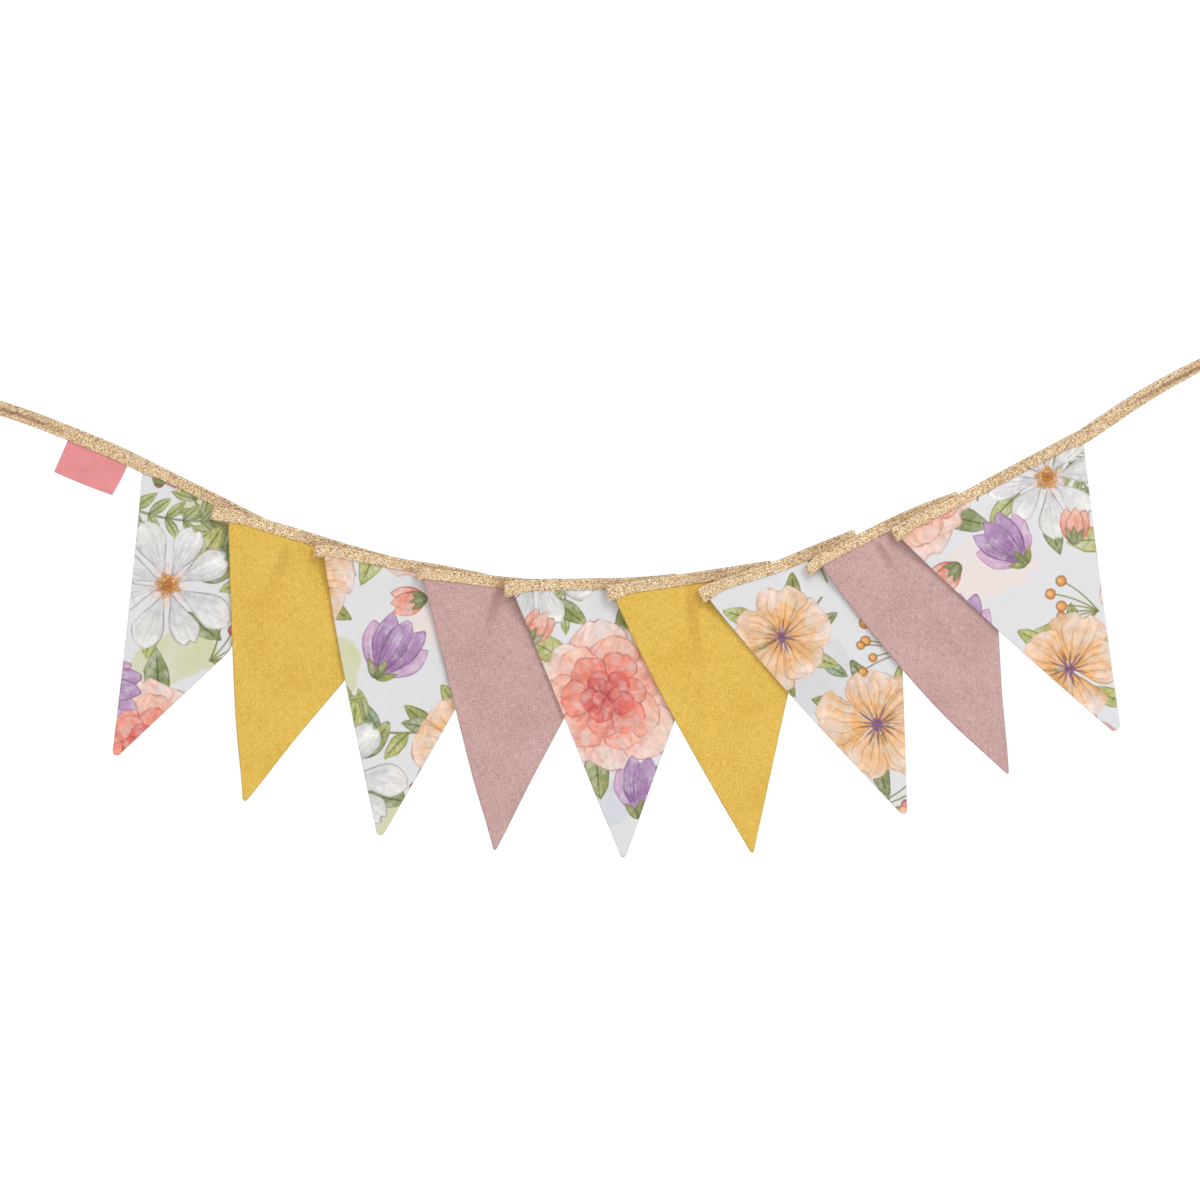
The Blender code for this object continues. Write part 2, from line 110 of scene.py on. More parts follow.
# The finer make of the cloth
CLOTH_THICK = 0.6
RIM_ROUND = 0.24  # how far the rounded rim stands out
PRINT_STEP = 0.6  # between the points that carry the print
PRINT_BACK_STEP = 1.3
PLAIN_STEP = 1.2
PLAIN_BACK_STEP = 2.0
TOP_ROWS = 4  # rows of points inside the tape
EDGE_POINTS = 1200  # places at which a slanted edge is worked out
RIPPLE_DEPTH = 0.36
RIPPLE_SIZE = 46.0
RIPPLE_FADE = 26.0  # the cloth is flat at the tape and waves freely this far down
RELAX = 0.62  # how much closer together the layers hang once they are clear of the tape
RELAX_FULL = 34.0
LABEL_THICK = 0.5
LABEL_STEP = 0.8
LABEL_WAVE = 0.25
LABEL_WAVE_RUN, LABEL_WAVE_START = 5.2, 0.6  # how far the wave runs across it, and from where, in radians

# The surfaces: the sizes of their threads, grains and clouds, and (place, colour) stops
LINEN_THREAD = (0.5, 6.0)
LINEN_GRAIN = (0.52, 0.52)
LINEN_CLOUD = (30.0, 36.0)
LINEN_PITCH = 0.5
COTTON_THREAD = (0.4, 12.0)
COTTON_CLOUD = (40.0, 40.0)
COTTON_PITCH = 0.32
BIG_GRAIN = (0.64, 0.58)
SMALL_GRAIN = (0.42, 0.42)
GLITTER_PATCH = (9.0, 5.0)
HOLLOW_SHADE = (6.4, 2.9)  # how far from the tape's top its stripe of painted shade lies, and its reach
CREST_SHADE = (2.7, 0.7)  # the same for the thin line of painted shade below the crown
RIBBON_RIB = (18.0, 0.35)
RIBBON_WARP = (0.3, 9.0)
RIBBON_CLOUD = (14.0, 12.0)
OCHRE = ((0.34, (192, 142, 44)), (0.5, (228, 187, 80)), (0.66, (250, 220, 126)))
MAUVE = ((0.34, (158, 120, 116)), (0.5, (200, 162, 157)), (0.66, (232, 202, 197)))
# the gold grains' own colours from brown to gold, with the palest stops painted glints
GOLD_AND_GLINTS = ((0.10, (104, 66, 38)), (0.27, (178, 128, 84)), (0.42, (226, 188, 142)), (0.60, (245, 216, 172)),
        (0.74, (255, 238, 198)), (0.88, (255, 252, 232)))
THREAD_GOLD = ((0.3, (190, 150, 100)), (0.7, (232, 204, 154)))
RIBBON_PINK = ((0.3, (220, 131, 134)), (0.5, (229, 142, 145)), (0.7, (236, 152, 154)))
FLOOR_PALE = ((0.3, (236, 235, 233)), (0.7, (242, 241, 240)))

# The photograph's frame: how much of the garland's plane it shows, and its middle
VIEW_WIDTH = 900.0
VIEW_HEIGHT = -16.3
CAMERA_DISTANCE = 3000.0
SENSOR_WIDTH = 36.0
FLOOR_DEPTH = 900.0  # the floor lies this far below the origin
FLOOR_SIZE = 5000.0
STUDIO_LIGHT = 0.74  # the brightness of the room all round
WALL_LIGHT = 1.04  # and of the wall behind the garland
WALL_START = 0.55  # the wall's edge fades in between these shares of the way to straight ahead
WALL_FULL = 0.93

# The flags' table, as in the solids
Flag = namedtuple(
    "Flag",
    "cloth x z tilt width drop tip rounding full_left full_right "
    "fold lead end dip_left dip dip_right sway lean trough",
)
FLAGS = (
    Flag("floral", -343.5, 78.7, -27.1, 151.9, 202.9, 78.3, 3.0, -1.0, -0.4,
         120.0, 0.0, 11.0, 0.0, -0.6, -0.6, 2.0, 0.0, 40.0),
    Flag("ochre", -278.3, 41.5, -17.9, 153.9, 198.3, 72.4, 1.8, 0.9, 0.2,
         123.5, 14.7, 10.5, 2.2, -0.9, -2.7, -1.5, 2.4, 47.0),
    Flag("floral", -206.3, 14.5, -8.6, 151.9, 204.3, 72.3, 3.0, 2.2, -0.7,
         122.0, 9.1, 8.8, 2.2, 2.2, 4.0, 2.5, -0.6, 57.0),
    Flag("mauve", -132.0, -2.8, -5.3, 149.1, 197.8, 69.1, 1.2, 0.0, 2.1,
         121.1, 5.6, 8.8, 2.6, 1.5, -2.0, -2.0, 2.1, 54.0),
    Flag("floral", -64.5, -11.8, 0.9, 158.3, 202.5, 78.3, 2.2, -0.3, -0.9,
         122.5, 7.4, 12.0, 1.9, 0.2, -2.6, 2.0, 0.6, 60.0),
    Flag("ochre", 11.3, -15.2, 8.9, 156.0, 207.0, 72.6, 1.2, 3.5, -2.1,
         119.7, 5.9, 12.0, -0.6, 0.8, 0.8, -2.0, -0.4, 55.0),
    Flag("floral", 81.8, -15.6, 23.4, 153.6, 211.3, 70.8, 2.9, 2.8, 0.3,
         120.5, 5.6, 11.5, 1.2, 5.0, 6.2, 2.5, -0.3, 30.0),
    Flag("mauve", 167.3, 7.7, 25.7, 137.6, 201.8, 55.5, 1.1, 5.4, 1.1,
         115.3, 11.8, 9.2, 3.4, -0.8, 3.0, -1.5, 2.6, 46.0),
    Flag("floral", 225.8, 29.5, 28.6, 155.5, 211.2, 72.6, 4.2, 1.5, -0.5,
         0.0, 4.1, 11.5, -1.0, 2.3, 3.4, 2.5, 0.4, 80.0),
)
Tail = namedtuple("Tail", "x z height")
LEFT_TAIL = (
    Tail(-465.0, 132.4, 10.8),
    Tail(-448.5, 127.1, 11.0),
    Tail(-420.0, 117.3, 10.8),
    Tail(-370.0, 97.3, 11.0),
)
RIGHT_TAIL = (
    Tail(375.0, 114.9, 11.3),
    Tail(401.3, 132.5, 10.7),
    Tail(423.8, 145.9, 9.9),
    Tail(448.5, 159.0, 9.2),
    Tail(465.0, 166.9, 9.1),
)
Label = namedtuple("Label", "x z tilt width drop")
LABEL = Label(-399.0, 103.6, -23.5, 48.4, 26.0)

# Soft creases that the solids leave out. along, down: the upper end. lean: degrees to the right
# of straight down. depth: how far the middle lies back, or forward where it is negative.
Crease = namedtuple("Crease", "flag along down lean length width depth")
CREASES = (
    Crease(2, 50, -2, -7, 60, 3.6, 2.2),
    Crease(2, 34, 60, 24, 80, 14, 0.5),
    Crease(4, 57, -3, -9, 50, 2.8, 3.0),
    Crease(4, 62, 0, -9, 40, 3.0, -0.8),
    Crease(6, 56, -1, -2, 80, 3.2, 2.6),
    Crease(6, 52, 50, -2, 60, 8, 0.6),
    Crease(8, 44, -3, 5, 44, 2.4, 2.8),
    Crease(8, 39, 2, 5, 40, 3.0, -0.7),
    Crease(8, 54, 56, 12, 80, 4.5, 1.2),
    Crease(1, 52, -2, -8, 50, 6, 0.7),
    Crease(3, 58, -2, -9, 50, 6, 0.8),
    Crease(5, 60, -2, -8, 60, 7, 0.8),
    Crease(7, 50, -2, 6, 60, 7, 0.7),
    Crease(9, 60, 4, 12, 80, 10, 0.6),
)

Station = namedtuple("Station", "point along up height groove", defaults=(0.0,))


# Small numbers

def smooth(low, high, value):
    """Rises gently from 0 at low to 1 at high."""
    share = np.clip((value - low) / (high - low), 0.0, 1.0)
    return share * share * (3.0 - 2.0 * share)


def mix(a, b, share):
    return a + (b - a) * share


def steps(start, end, step):
    """Evenly spaced values from start to end, no more than step apart."""
    return list(np.linspace(start, end, max(1, math.ceil(abs(end - start) / step)) + 1))


def unit(vector):
    return vector / np.linalg.norm(vector)


def bell(value, width):
    """One where the value is zero, fading on both sides."""
    return np.exp(-((value / width) ** 2))


def cos_sin(degrees):
    """The step along a heading, across and up."""
    angle = math.radians(degrees)
    return math.cos(angle), math.sin(angle)


def lengths_along(points):
    """How far each point lies along the line through them all."""
    return np.concatenate(((0.0,), np.cumsum(np.linalg.norm(np.diff(points, axis=0), axis=1))))


def lattice(i, j, seed):
    """A fixed random number from 0 to 1 for each whole i and j."""
    n = (i * 374761393 + j * 668265263 + seed * 974711) & 0xFFFFFFFF
    n = ((n ^ (n >> 13)) * 1274126177) & 0xFFFFFFFF
    return ((n ^ (n >> 16)) & 0xFFFF) / 65535.0


def noise(x, y, seed=0):
    """Smooth noise from 0 to 1 that changes over a distance of 1."""
    i, j = np.floor(x).astype(np.int64), np.floor(y).astype(np.int64)
    u, v = smooth(0.0, 1.0, x - i), smooth(0.0, 1.0, y - j)
    low = mix(lattice(i, j, seed), lattice(i + 1, j, seed), u)
    high = mix(lattice(i, j + 1, seed), lattice(i + 1, j + 1, seed), u)
    return mix(low, high, v)


def mottle(x, y, size, seed):
    """Noise with a finer octave on it."""
    coarse = noise(x / size, y / size, seed)
    return 0.6 * coarse + 0.4 * noise(x * 2.7 / size, y * 2.7 / size, seed + 1)


# The garland's layout, as in the solids

def direction(flag):
    """The unit vector along a flag's top edge, to the right."""
    c, s = cos_sin(flag.tilt)
    return np.array((c, 0.0, s))


def upward(flag):
    c, s = cos_sin(flag.tilt)
    return np.array((-s, 0.0, c))


def place(flag, along, up, depth):
    """Points of a flag's own plane, in the garland's frame."""
    along, up, depth = np.broadcast_arrays(along, up, depth)
    corner = np.array((flag.x, 0.0, flag.z))
    in_plane = corner + along[..., None] * direction(flag) + up[..., None] * upward(flag)
    return in_plane + depth[..., None] * np.array((0.0, 1.0, 0.0))


def along_of(flag, point):
    return (point - np.array((flag.x, 0.0, flag.z))) @ direction(flag)


def turn_centre(flag):
    return flag.fold - TURN_REACH


def lead_centre(flag):
    return TURN_REACH - flag.lead


def tape_top(flag, along):
    """How high the tape's top edge is over the line of a flag's top corners."""
    along = np.asarray(along, float)
    middle = flag.width * 0.45
    end = flag.fold or flag.width
    left = mix(flag.dip_left, 0.0, smooth(-max(flag.lead, SLOT_END), 0.0, along))
    centre = mix(0.0, flag.dip, smooth(0.0, middle, along))
    right = mix(flag.dip, flag.dip_right, ((along - middle) / (end - middle)) ** 2)
    return BARE_HEIGHT - np.where(along < 0.0, left, np.where(along < middle, centre, right))


def tape_height(flag, along):
    """The tape is tall where it is bare, and pulled lower where it grips the cloth."""
    height = mix(flag.end, SEWN_HEIGHT, smooth(-SLOT_END, HEIGHT_EASE, along))
    if flag.fold:
        return height
    return mix(height, BARE_HEIGHT, smooth(flag.width - HEIGHT_EASE, flag.width, along))


def tape_rise(flag, along):
    return tape_top(flag, along) - tape_height(flag, along) / 2


def layer_span(index):
    """Where flag number index leaves its left layer, and where it has reached its right one."""
    flag = FLAGS[index]
    if index == 0:
        start = FIRST_EASE_START
    else:
        before = FLAGS[index - 1]
        start = along_of(flag, place(before, before.fold, 0.0, 0.0)) + LAYER_MARGIN
    if index == len(FLAGS) - 1:
        return start, start + END_EASE
    after = FLAGS[index + 1]
    end = along_of(flag, place(after, -after.lead, 0.0, 0.0)) - LAYER_MARGIN
    return start, end


def depth_at(index, along):
    """The y of a flag's middle layer: it comes from the front and goes to the back."""
    first = 0.0 if index == 0 else -LAYER_PITCH
    last = 0.0 if index == len(FLAGS) - 1 else LAYER_PITCH
    start, end = layer_span(index)
    return mix(first, last, smooth(start, end, along))


def depth_slope(index, along):
    reach = 0.05
    return (depth_at(index, along + reach) - depth_at(index, along - reach)) / (2 * reach)


def folded(index, flat):
    """Follows a flag's top edge round its fold: where it is, its depth and its heading."""
    flag = FLAGS[index]
    flat = np.asarray(flat, float)
    along, depth = flat, depth_at(index, flat)
    angle = np.arctan(-depth_slope(index, flat))
    if not flag.fold:
        return along, depth, angle
    turn = turn_centre(flag)
    bend = np.clip((flat - turn) / TURN_RADIUS, 0.0, math.pi)
    past = np.maximum(flat - turn - math.pi * TURN_RADIUS, 0.0)
    bent = flat > turn
    along = np.where(bent, turn + TURN_RADIUS * np.sin(bend) - past, along)
    depth = np.where(bent, LAYER_PITCH - TURN_RADIUS * (1.0 - np.cos(bend)), depth)
    return along, depth, np.where(bent, bend, angle)


def heading_vector(flag, angle):
    """Turns a flag's direction towards the front, by an angle about its up."""
    return direction(flag) * math.cos(angle) + np.array((0.0, -math.sin(angle), 0.0))


def run_stations(index):
    """The tape along one flag, from its left fold to its right one."""
    flag = FLAGS[index]
    start = lead_centre(flag) if index else 0.0
    end = turn_centre(flag) if flag.fold else flag.width + SLOT_END
    low, high = layer_span(index)
    places = steps(start, low, TAPE_STEP) + steps(low, high, EASE_STEP)[1:]
    result = []
    for along in places + steps(high, end, TAPE_STEP)[1:]:
        point = place(flag, along, tape_rise(flag, along), depth_at(index, along))
        heading = heading_vector(flag, math.atan(-depth_slope(index, along)))
        result.append(Station(point, heading, upward(flag), tape_height(flag, along)))
    return result


def turn_stations(flag, centre, start_depth, right):
    """The tape's half circle at a fold, from one layer to the next one forward."""
    rise, height = tape_rise(flag, centre), tape_height(flag, centre)
    result = []
    for i in range(1, TURN_STEPS):
        angle = math.pi * i / TURN_STEPS
        side = math.sin(angle) * TURN_RADIUS * (1 if right else -1)
        depth = start_depth - TURN_RADIUS * (1.0 - math.cos(angle))
        heading = heading_vector(flag, angle if right else math.pi - angle)
        result.append(Station(place(flag, centre + side, rise, depth), heading, upward(flag), height))
    return result


def middle_stations(index):
    """The tape between two flags, running back to the left behind the next flag."""
    flag, after = FLAGS[index], FLAGS[index + 1]
    right = place(flag, turn_centre(flag), tape_rise(flag, turn_centre(flag)), 0.0)
    left = place(after, lead_centre(after), tape_rise(after, lead_centre(after)), 0.0)
    heights = tape_height(flag, turn_centre(flag)), tape_height(after, lead_centre(after))
    length = np.linalg.norm(right - left)
    result = []
    for share in steps(0.0, 1.0, TAPE_STEP / length):
        up = unit(mix(upward(flag), upward(after), share))
        along = unit(mix(-direction(flag), -direction(after), share))
        result.append(Station(mix(right, left, share), along, up, mix(*heights, share)))
    return result


def curve_through(points, step):
    """Points on a smooth curve through the given ones, each with its value and direction."""
    result = []
    padded = [points[0] * 2 - points[1]] + points + [points[-1] * 2 - points[-2]]
    for i in range(1, len(padded) - 2):
        a, b, c, d = padded[i - 1 : i + 3]
        count = max(1, round(np.linalg.norm(c - b) / step))
        for k in range(count + (i == len(padded) - 3)):
            t = k / count
            square, cube = 2 * a - 5 * b + 4 * c - d, 3 * b - a - 3 * c + d
            point = 0.5 * (2 * b + (c - a) * t + square * t**2 + cube * t**3)
            slope = 0.5 * ((c - a) + 2 * square * t + 3 * cube * t**2)
            result.append((point, unit(slope), i - 1 + t))
    return result


def tail_stations(tail, joins_right):
    """The bare tape of one end. joins_right: its last point is on the first flag."""
    flag = FLAGS[0] if joins_right else FLAGS[-1]
    join_along = 0.0 if joins_right else flag.width + SLOT_END
    points = [np.array((row.x, 0.0, row.z)) for row in tail]
    heights = [row.height for row in tail]
    join_at = len(points) if joins_right else 0
    points.insert(join_at, place(flag, join_along, tape_rise(flag, join_along), 0.0))
    heights.insert(join_at, float(tape_height(flag, join_along)))
    result = []
    for point, along, value in curve_through(points, TAPE_STEP):
        low = min(int(value), len(heights) - 2)
        height = mix(heights[low], heights[low + 1], value - low)
        # painted shade along the middle of the bare tape, as if it were hollow
        groove = smooth(*TAIL_GROOVE, abs(point[0]))
        result.append(Station(point, along, np.array((-along[2], 0.0, along[0])), height, groove))
    return result


def tape_stations():
    """The whole tape, from its left end to its right one."""
    result = tail_stations(LEFT_TAIL, True)[:-1]
    for index, flag in enumerate(FLAGS):
        result += run_stations(index)
        if not flag.fold:
            continue
        after = FLAGS[index + 1]
        result += turn_stations(flag, turn_centre(flag), LAYER_PITCH, True)
        result += middle_stations(index)
        result += turn_stations(after, lead_centre(after), 0.0, False)
    return result + tail_stations(RIGHT_TAIL, False)[1:]


# Meshes

def new_piece(name, points, faces, material, flat=None):
    """A smooth mesh that rides on the garland. flat: each point's place on the flat cloth."""
    mesh = bpy.data.meshes.new(name)
    mesh.from_pydata(np.asarray(points) * MM, [], faces)
    mesh.shade_smooth()
    if flat is not None:
        corners = np.empty(len(mesh.loops), np.int32)
        mesh.loops.foreach_get("vertex_index", corners)
        uv = mesh.uv_layers.new(name="cloth")
        uv.data.foreach_set("uv", (np.asarray(flat)[corners] * MM).astype(np.float32).ravel())
    mesh.materials.append(material)
    piece = bpy.data.objects.new(name, mesh)
    bpy.context.scene.collection.objects.link(piece)
    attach(piece, "root")
    return piece


def keep_values(piece, name, values):
    """Keeps a number for each point, for the shader to read."""
    layer = piece.data.attributes.new(name, "FLOAT", "POINT")
    layer.data.foreach_set("value", np.asarray(values, np.float32))


def grid_faces(columns, rows):
    """The quads of both sides of a sheet, and of its rim, as columns of points."""
    count = columns * rows
    c, r = np.meshgrid(np.arange(columns - 1), np.arange(rows - 1), indexing="ij")
    a = (c * rows + r).ravel()
    front = np.stack((a, a + 1, a + rows + 1, a + rows), axis=1)
    rim = [c * rows for c in range(columns)]
    rim += [(columns - 1) * rows + r for r in range(1, rows)]
    rim += [c * rows + rows - 1 for c in reversed(range(columns - 1))]
    rim += list(reversed(range(1, rows - 1)))
    edge = np.array(rim)
    after = np.roll(edge, -1)
    sides = np.stack((edge, after, count + after, count + edge), axis=1)
    return np.concatenate((front, count + front[:, ::-1], sides))


def zipped(low, low_at, high, high_at):
    """Triangles between two rows of points. low_at, high_at: their places, in the same order."""
    low_keys = (low_at[1:] + low_at[:-1]) / 2
    high_keys = (high_at[1:] + high_at[:-1]) / 2
    across = high[np.searchsorted(high_keys, low_keys, side="left")]
    down = low[np.searchsorted(low_keys, high_keys, side="right")]
    first = np.stack((low[:-1], across, low[1:]), axis=1)
    second = np.stack((high[:-1], high[1:], down), axis=1)
    return np.concatenate((first, second))


# The tape

def tape_path(height):
    """The middle of the tape's cloth in one cross-section, from one turned-in edge to the other."""
    half = height / 2
    top = TAPE_THICK / 2 - TAPE_CLOTH / 2
    low = top - TAPE_PINCH
    apart = TAPE_CLOTH + TAPE_TURNED_GAP
    fold = apart / 2
    bottom = -half + TAPE_CLOTH / 2
    inner_top = half - TAPE_TURNED_SHORT
    shoulder = half - top - TAPE_CLOTH / 2
    inner = [(mix(low, top, t) - apart, mix(inner_top, bottom + fold, 1 - t)) for t in INNER_PLACES]
    turn = [(low - fold - fold * c, bottom + fold - fold * s) for c, s in map(cos_sin, TURNED_ANGLES)]
    outer = [(mix(low, top, smooth(0, 1, t)), mix(bottom + fold, shoulder, t)) for t in OUTER_PLACES]
    crown = [(top * c, shoulder + top * s) for c, s in map(cos_sin, CROWN_ANGLES)]
    one = inner + turn + outer + crown
    other = [(-side, up) for side, up in one[:-1]]
    return np.array(other + one[::-1])


def build_tape(stations, material):
    """The folded tape as one sheet of cloth, with its edges turned in."""
    sides = ([], [])
    flat, groove_shades = [], []
    run = 0.0
    before = stations[0].point
    for station in stations:
        run += np.linalg.norm(station.point - before)
        before = station.point
        uneven = noise(np.array(run / WOBBLE_SIZE), np.array(0.5), 5) * 2 - 1
        height = station.height + TAPE_WOBBLE * uneven
        path = tape_path(float(height))
        slope = np.gradient(path, axis=0)
        slope /= np.linalg.norm(slope, axis=1)[:, None]
        normal = np.stack((-slope[:, 1], slope[:, 0]), axis=1)
        across = unit(np.cross(station.along, station.up))
        girth = lengths_along(path)
        flat += [(run, g) for g in girth - girth[-1] / 2]
        groove_shades += [station.groove] * len(path)
        for side, reach in zip(sides, (TAPE_CLOTH / 2, -TAPE_CLOTH / 2)):
            place_in = path + normal * reach
            side.append(station.point + place_in[:, :1] * across + place_in[:, 1:] * station.up)
    rows = len(path)
    points = np.concatenate(sides[0] + sides[1])
    faces = grid_faces(len(stations), rows)
    tape = new_piece("gold_tape", points, faces, material, flat + flat)
    depths = np.repeat([s.point[1] for s in stations], rows)
    # painted shade: the tape is darkened where it lies in the back layer
    back_layer_shade = smooth(-LAYER_PITCH, LAYER_PITCH, np.concatenate((depths, depths)))
    keep_values(tape, "back_layer_shade", back_layer_shade * TAPE_TUCK_SHADE)
    keep_values(tape, "groove", groove_shades + groove_shades)
    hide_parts("tape")
    return tape, run


def build_stitches(name, stations, side, material):
    """One row of stitches on one face of the tape, joined into one mesh."""
    across = np.array([unit(np.cross(s.along, s.up)) for s in stations])
    ups = np.array([s.up for s in stations])
    places = np.array([s.point - s.up * (s.height / 2 - SEAM_UP) for s in stations])
    places = places + across * ((TAPE_THICK / 2 - TAPE_PINCH * STITCH_PINCH) * side)
    run = lengths_along(places)
    points, faces = [], []
    sides = range(STITCH_SIDES)
    for start in np.arange(STITCH_PITCH, run[-1] - STITCH_PITCH, STITCH_PITCH):
        base = len(points)
        middle = start + STITCH_LENGTH * STITCH_UNEVEN * math.sin(start * STITCH_STRAY)
        for share, swell in STITCH_SHAPE:
            at = middle + share * STITCH_LENGTH
            point, out, up = (np.array([np.interp(at, run, rows[:, k]) for k in range(3)])
                              for rows in (places, across, ups))
            out, up = unit(out) * side, unit(up)
            for i in sides:
                c, s = cos_sin(360.0 * i / STITCH_SIDES)
                radius = STITCH_RADIUS * max(swell, STITCH_END)
                points.append(point + (up * c + out * s) * radius - out * (1.0 - swell) * STITCH_RADIUS)
        last = base + (len(STITCH_SHAPE) - 1) * STITCH_SIDES
        closed = [(a + i, a + (i + 1) % STITCH_SIDES, a + STITCH_SIDES + (i + 1) % STITCH_SIDES,
                   a + STITCH_SIDES + i) for a in range(base, last, STITCH_SIDES) for i in sides]
        closed += [tuple(base + i for i in reversed(sides)), tuple(last + i for i in sides)]
        faces += closed if side > 0 else [face[::-1] for face in closed]
    return new_piece(name, points, faces, material)


# The flags

def edge_slopes(flag):
    return flag.drop / flag.tip, flag.drop / (flag.width - flag.tip)


def tip_circle(flag):
    """The rounding of a flag's point: its centre, and where it meets the two edges."""
    left, right = edge_slopes(flag)
    long_left, long_right = math.hypot(1, left), math.hypot(1, right)
    centre = (right * flag.width + flag.rounding * (long_left - long_right)) / (left + right)
    drop = left * centre - flag.rounding * long_left
    meets_left = centre - flag.rounding * left / long_left
    meets_right = centre + flag.rounding * right / long_right
    return centre, drop, meets_left, meets_right


def flag_edge(flag, along):
    """How far a flag's cloth hangs below its top corners, at places along them."""
    left, right = edge_slopes(flag)
    centre, drop, meets_left, meets_right = tip_circle(flag)
    share = np.clip(along / meets_left, 0.0, 1.0)
    full = flag.full_left * math.hypot(1, left)
    on_left = left * along + full * np.sin(math.pi * share**BULGE_POWER)
    share = np.clip((flag.width - along) / (flag.width - meets_right), 0.0, 1.0)
    full = flag.full_right * math.hypot(1, right)
    on_right = right * (flag.width - along) + full * np.sin(math.pi * share**BULGE_POWER)
    tip = drop + np.sqrt(np.maximum(0.0, flag.rounding**2 - (along - centre) ** 2))
    return np.where(along < meets_left, on_left, np.where(along > meets_right, on_right, tip))


def flag_top(index, flat):
    """How high a flag's top edge reaches into the tape."""
    flag = FLAGS[index]
    turn = turn_centre(flag)
    lift = SLOT_DEPTH - TOP_GAP
    flat = np.asarray(flat, float)
    along = np.minimum(flat, turn) if flag.fold else flat
    top = tape_top(flag, along) - tape_height(flag, along) + lift
    if not flag.fold:
        return top
    stations = middle_stations(index)
    low_edges = [s.point - s.up * (s.height / 2) for s in (stations[0], stations[-1])]
    right, left = (edge - np.array((flag.x, 0.0, flag.z)) for edge in low_edges)
    share = (flat - turn - math.pi * TURN_RADIUS) / ((right - left) @ direction(flag))
    beyond = mix(right @ upward(flag), left @ upward(flag), share) + lift
    return np.where(share > 0.0, beyond, top)


def corner_sink(index, flat, down):
    """How much lower a corner is cut where the tape sags over it, so that it stays inside."""
    sunk = np.maximum(0.0, CORNER_HANG - flag_top(index, flat))
    return sunk * np.maximum(0.0, 1.0 - down / CORNER_FADE)


def crease_depth(number, flat, down):
    """How far the creases press the cloth back."""
    depth = np.zeros(len(flat))
    for crease in CREASES:
        if crease.flag != number:
            continue
        lean = math.radians(crease.lean)
        right, below = flat - crease.along, down - crease.down
        share = (right * math.sin(lean) + below * math.cos(lean)) / crease.length
        off = right * math.cos(lean) - below * math.sin(lean)
        fade = smooth(0.0, 0.2, share) * smooth(1.0, 0.35, share)
        depth += crease.depth * fade * bell(off, crease.width)
    return depth


def flag_forward(number, flat, down):
    """How far the cloth stands forward of its layer: its swing, troughs, creases and ripples."""
    flag = FLAGS[number - 1]
    forward = flag.sway * smooth(SWAY_START, 1.0, down / flag.drop)
    along = smooth(0.0, TROUGH_START, down) * np.exp(-np.maximum(down, 0.0) / TROUGH_FADE)
    forward = forward - TROUGH_DEPTH * bell(flat - flag.trough, TROUGH_WIDTH) * along
    forward = forward - crease_depth(number, flat, down)
    wave = mottle(flat, down, RIPPLE_SIZE, 40 + number) - 0.5
    return forward + 2 * RIPPLE_DEPTH * wave * smooth(2.0, RIPPLE_FADE, down)


def flag_lean(flag, down):
    """How far the cloth bends to the right near its point."""
    return flag.lean * smooth(LEAN_START, 1.0, down / flag.drop)


def cloth_points(number, flat, down, side):
    """Points of a flag's cloth in the garland's frame. side: towards its face from its middle."""
    flag = FLAGS[number - 1]
    along, depth, angle = folded(number - 1, flat)
    along = along + flag_lean(flag, down)
    depth = depth * (1.0 - RELAX * smooth(0.0, RELAX_FULL, down))
    middle = place(flag, along, -down, depth - flag_forward(number, flat, down))
    front = np.array((0.0, -1.0, 0.0))
    across = np.cos(angle)[:, None] * front - np.sin(angle)[:, None] * direction(flag)
    return middle + across * side


def cloth_rows(number, step):
    """Rows of points across a flag laid flat, from its hidden top edge to its tip."""
    flag = FLAGS[number - 1]
    centre = tip_circle(flag)[0]
    deepest = float(flag_edge(flag, np.array(centre)))
    left_at = np.linspace(0.0, centre, EDGE_POINTS)
    right_at = np.linspace(flag.width, centre, EDGE_POINTS)
    left_down, right_down = flag_edge(flag, left_at), flag_edge(flag, right_at)
    rows = []
    top = np.linspace(0.0, flag.width, max(2, round(flag.width / step)) + 1)
    hidden, sunk = -flag_top(number - 1, top), corner_sink(number - 1, top, 0.0)
    for i in range(TOP_ROWS):
        rows.append((top, mix(hidden, sunk, i / TOP_ROWS)))
    for down in steps(0.0, deepest, step):
        low, high = np.interp(down, left_down, left_at), np.interp(down, right_down, right_at)
        count = max(1, round((high - low) / step))
        flat = np.linspace(low, high, count + 1) if down < deepest else np.array((centre,))
        rows.append((flat, down + corner_sink(number - 1, flat, down)))
    return rows


def row_numbers(rows, start):
    """The points' numbers, row by row."""
    result = []
    for flat, _ in rows:
        result.append(np.arange(start, start + len(flat)))
        start += len(flat)
    return result


def rows_joined(rows, numbers):
    """The triangles between each row of points and the next."""
    return [zipped(numbers[i], rows[i][0], numbers[i + 1], rows[i + 1][0]) for i in range(len(rows) - 1)]


def outline(rows, numbers, flag):
    """The rim of a flag's rows: point numbers, and a value that grows from 0 to 3 round it."""
    span = len(rows) - 1
    left = [(n[0], i / span) for i, n in enumerate(numbers)]
    right = [(n[-1], 2.0 - i / span) for i, n in enumerate(numbers)][-2::-1]
    top_flat = rows[0][0]
    top = [(n, 3.0 - s / flag.width) for n, s in zip(numbers[0], top_flat)][-2::-1]
    loop = left + right + top
    return np.array([n for n, _ in loop]), np.array([at for _, at in loop])


def pushed_out(flat, down, reach):
    """Moves the places of a closed rim outwards by reach, in the plane of the flat cloth."""
    loop = np.stack((flat, -down), axis=1)[:-1]
    slope = np.roll(loop, -1, axis=0) - np.roll(loop, 1, axis=0)
    slope /= np.linalg.norm(slope, axis=1)[:, None]
    out = loop - reach * np.stack((slope[:, 1], -slope[:, 0]), axis=1)
    out = np.concatenate((out, out[:1]))
    return out[:, 0], -out[:, 1]


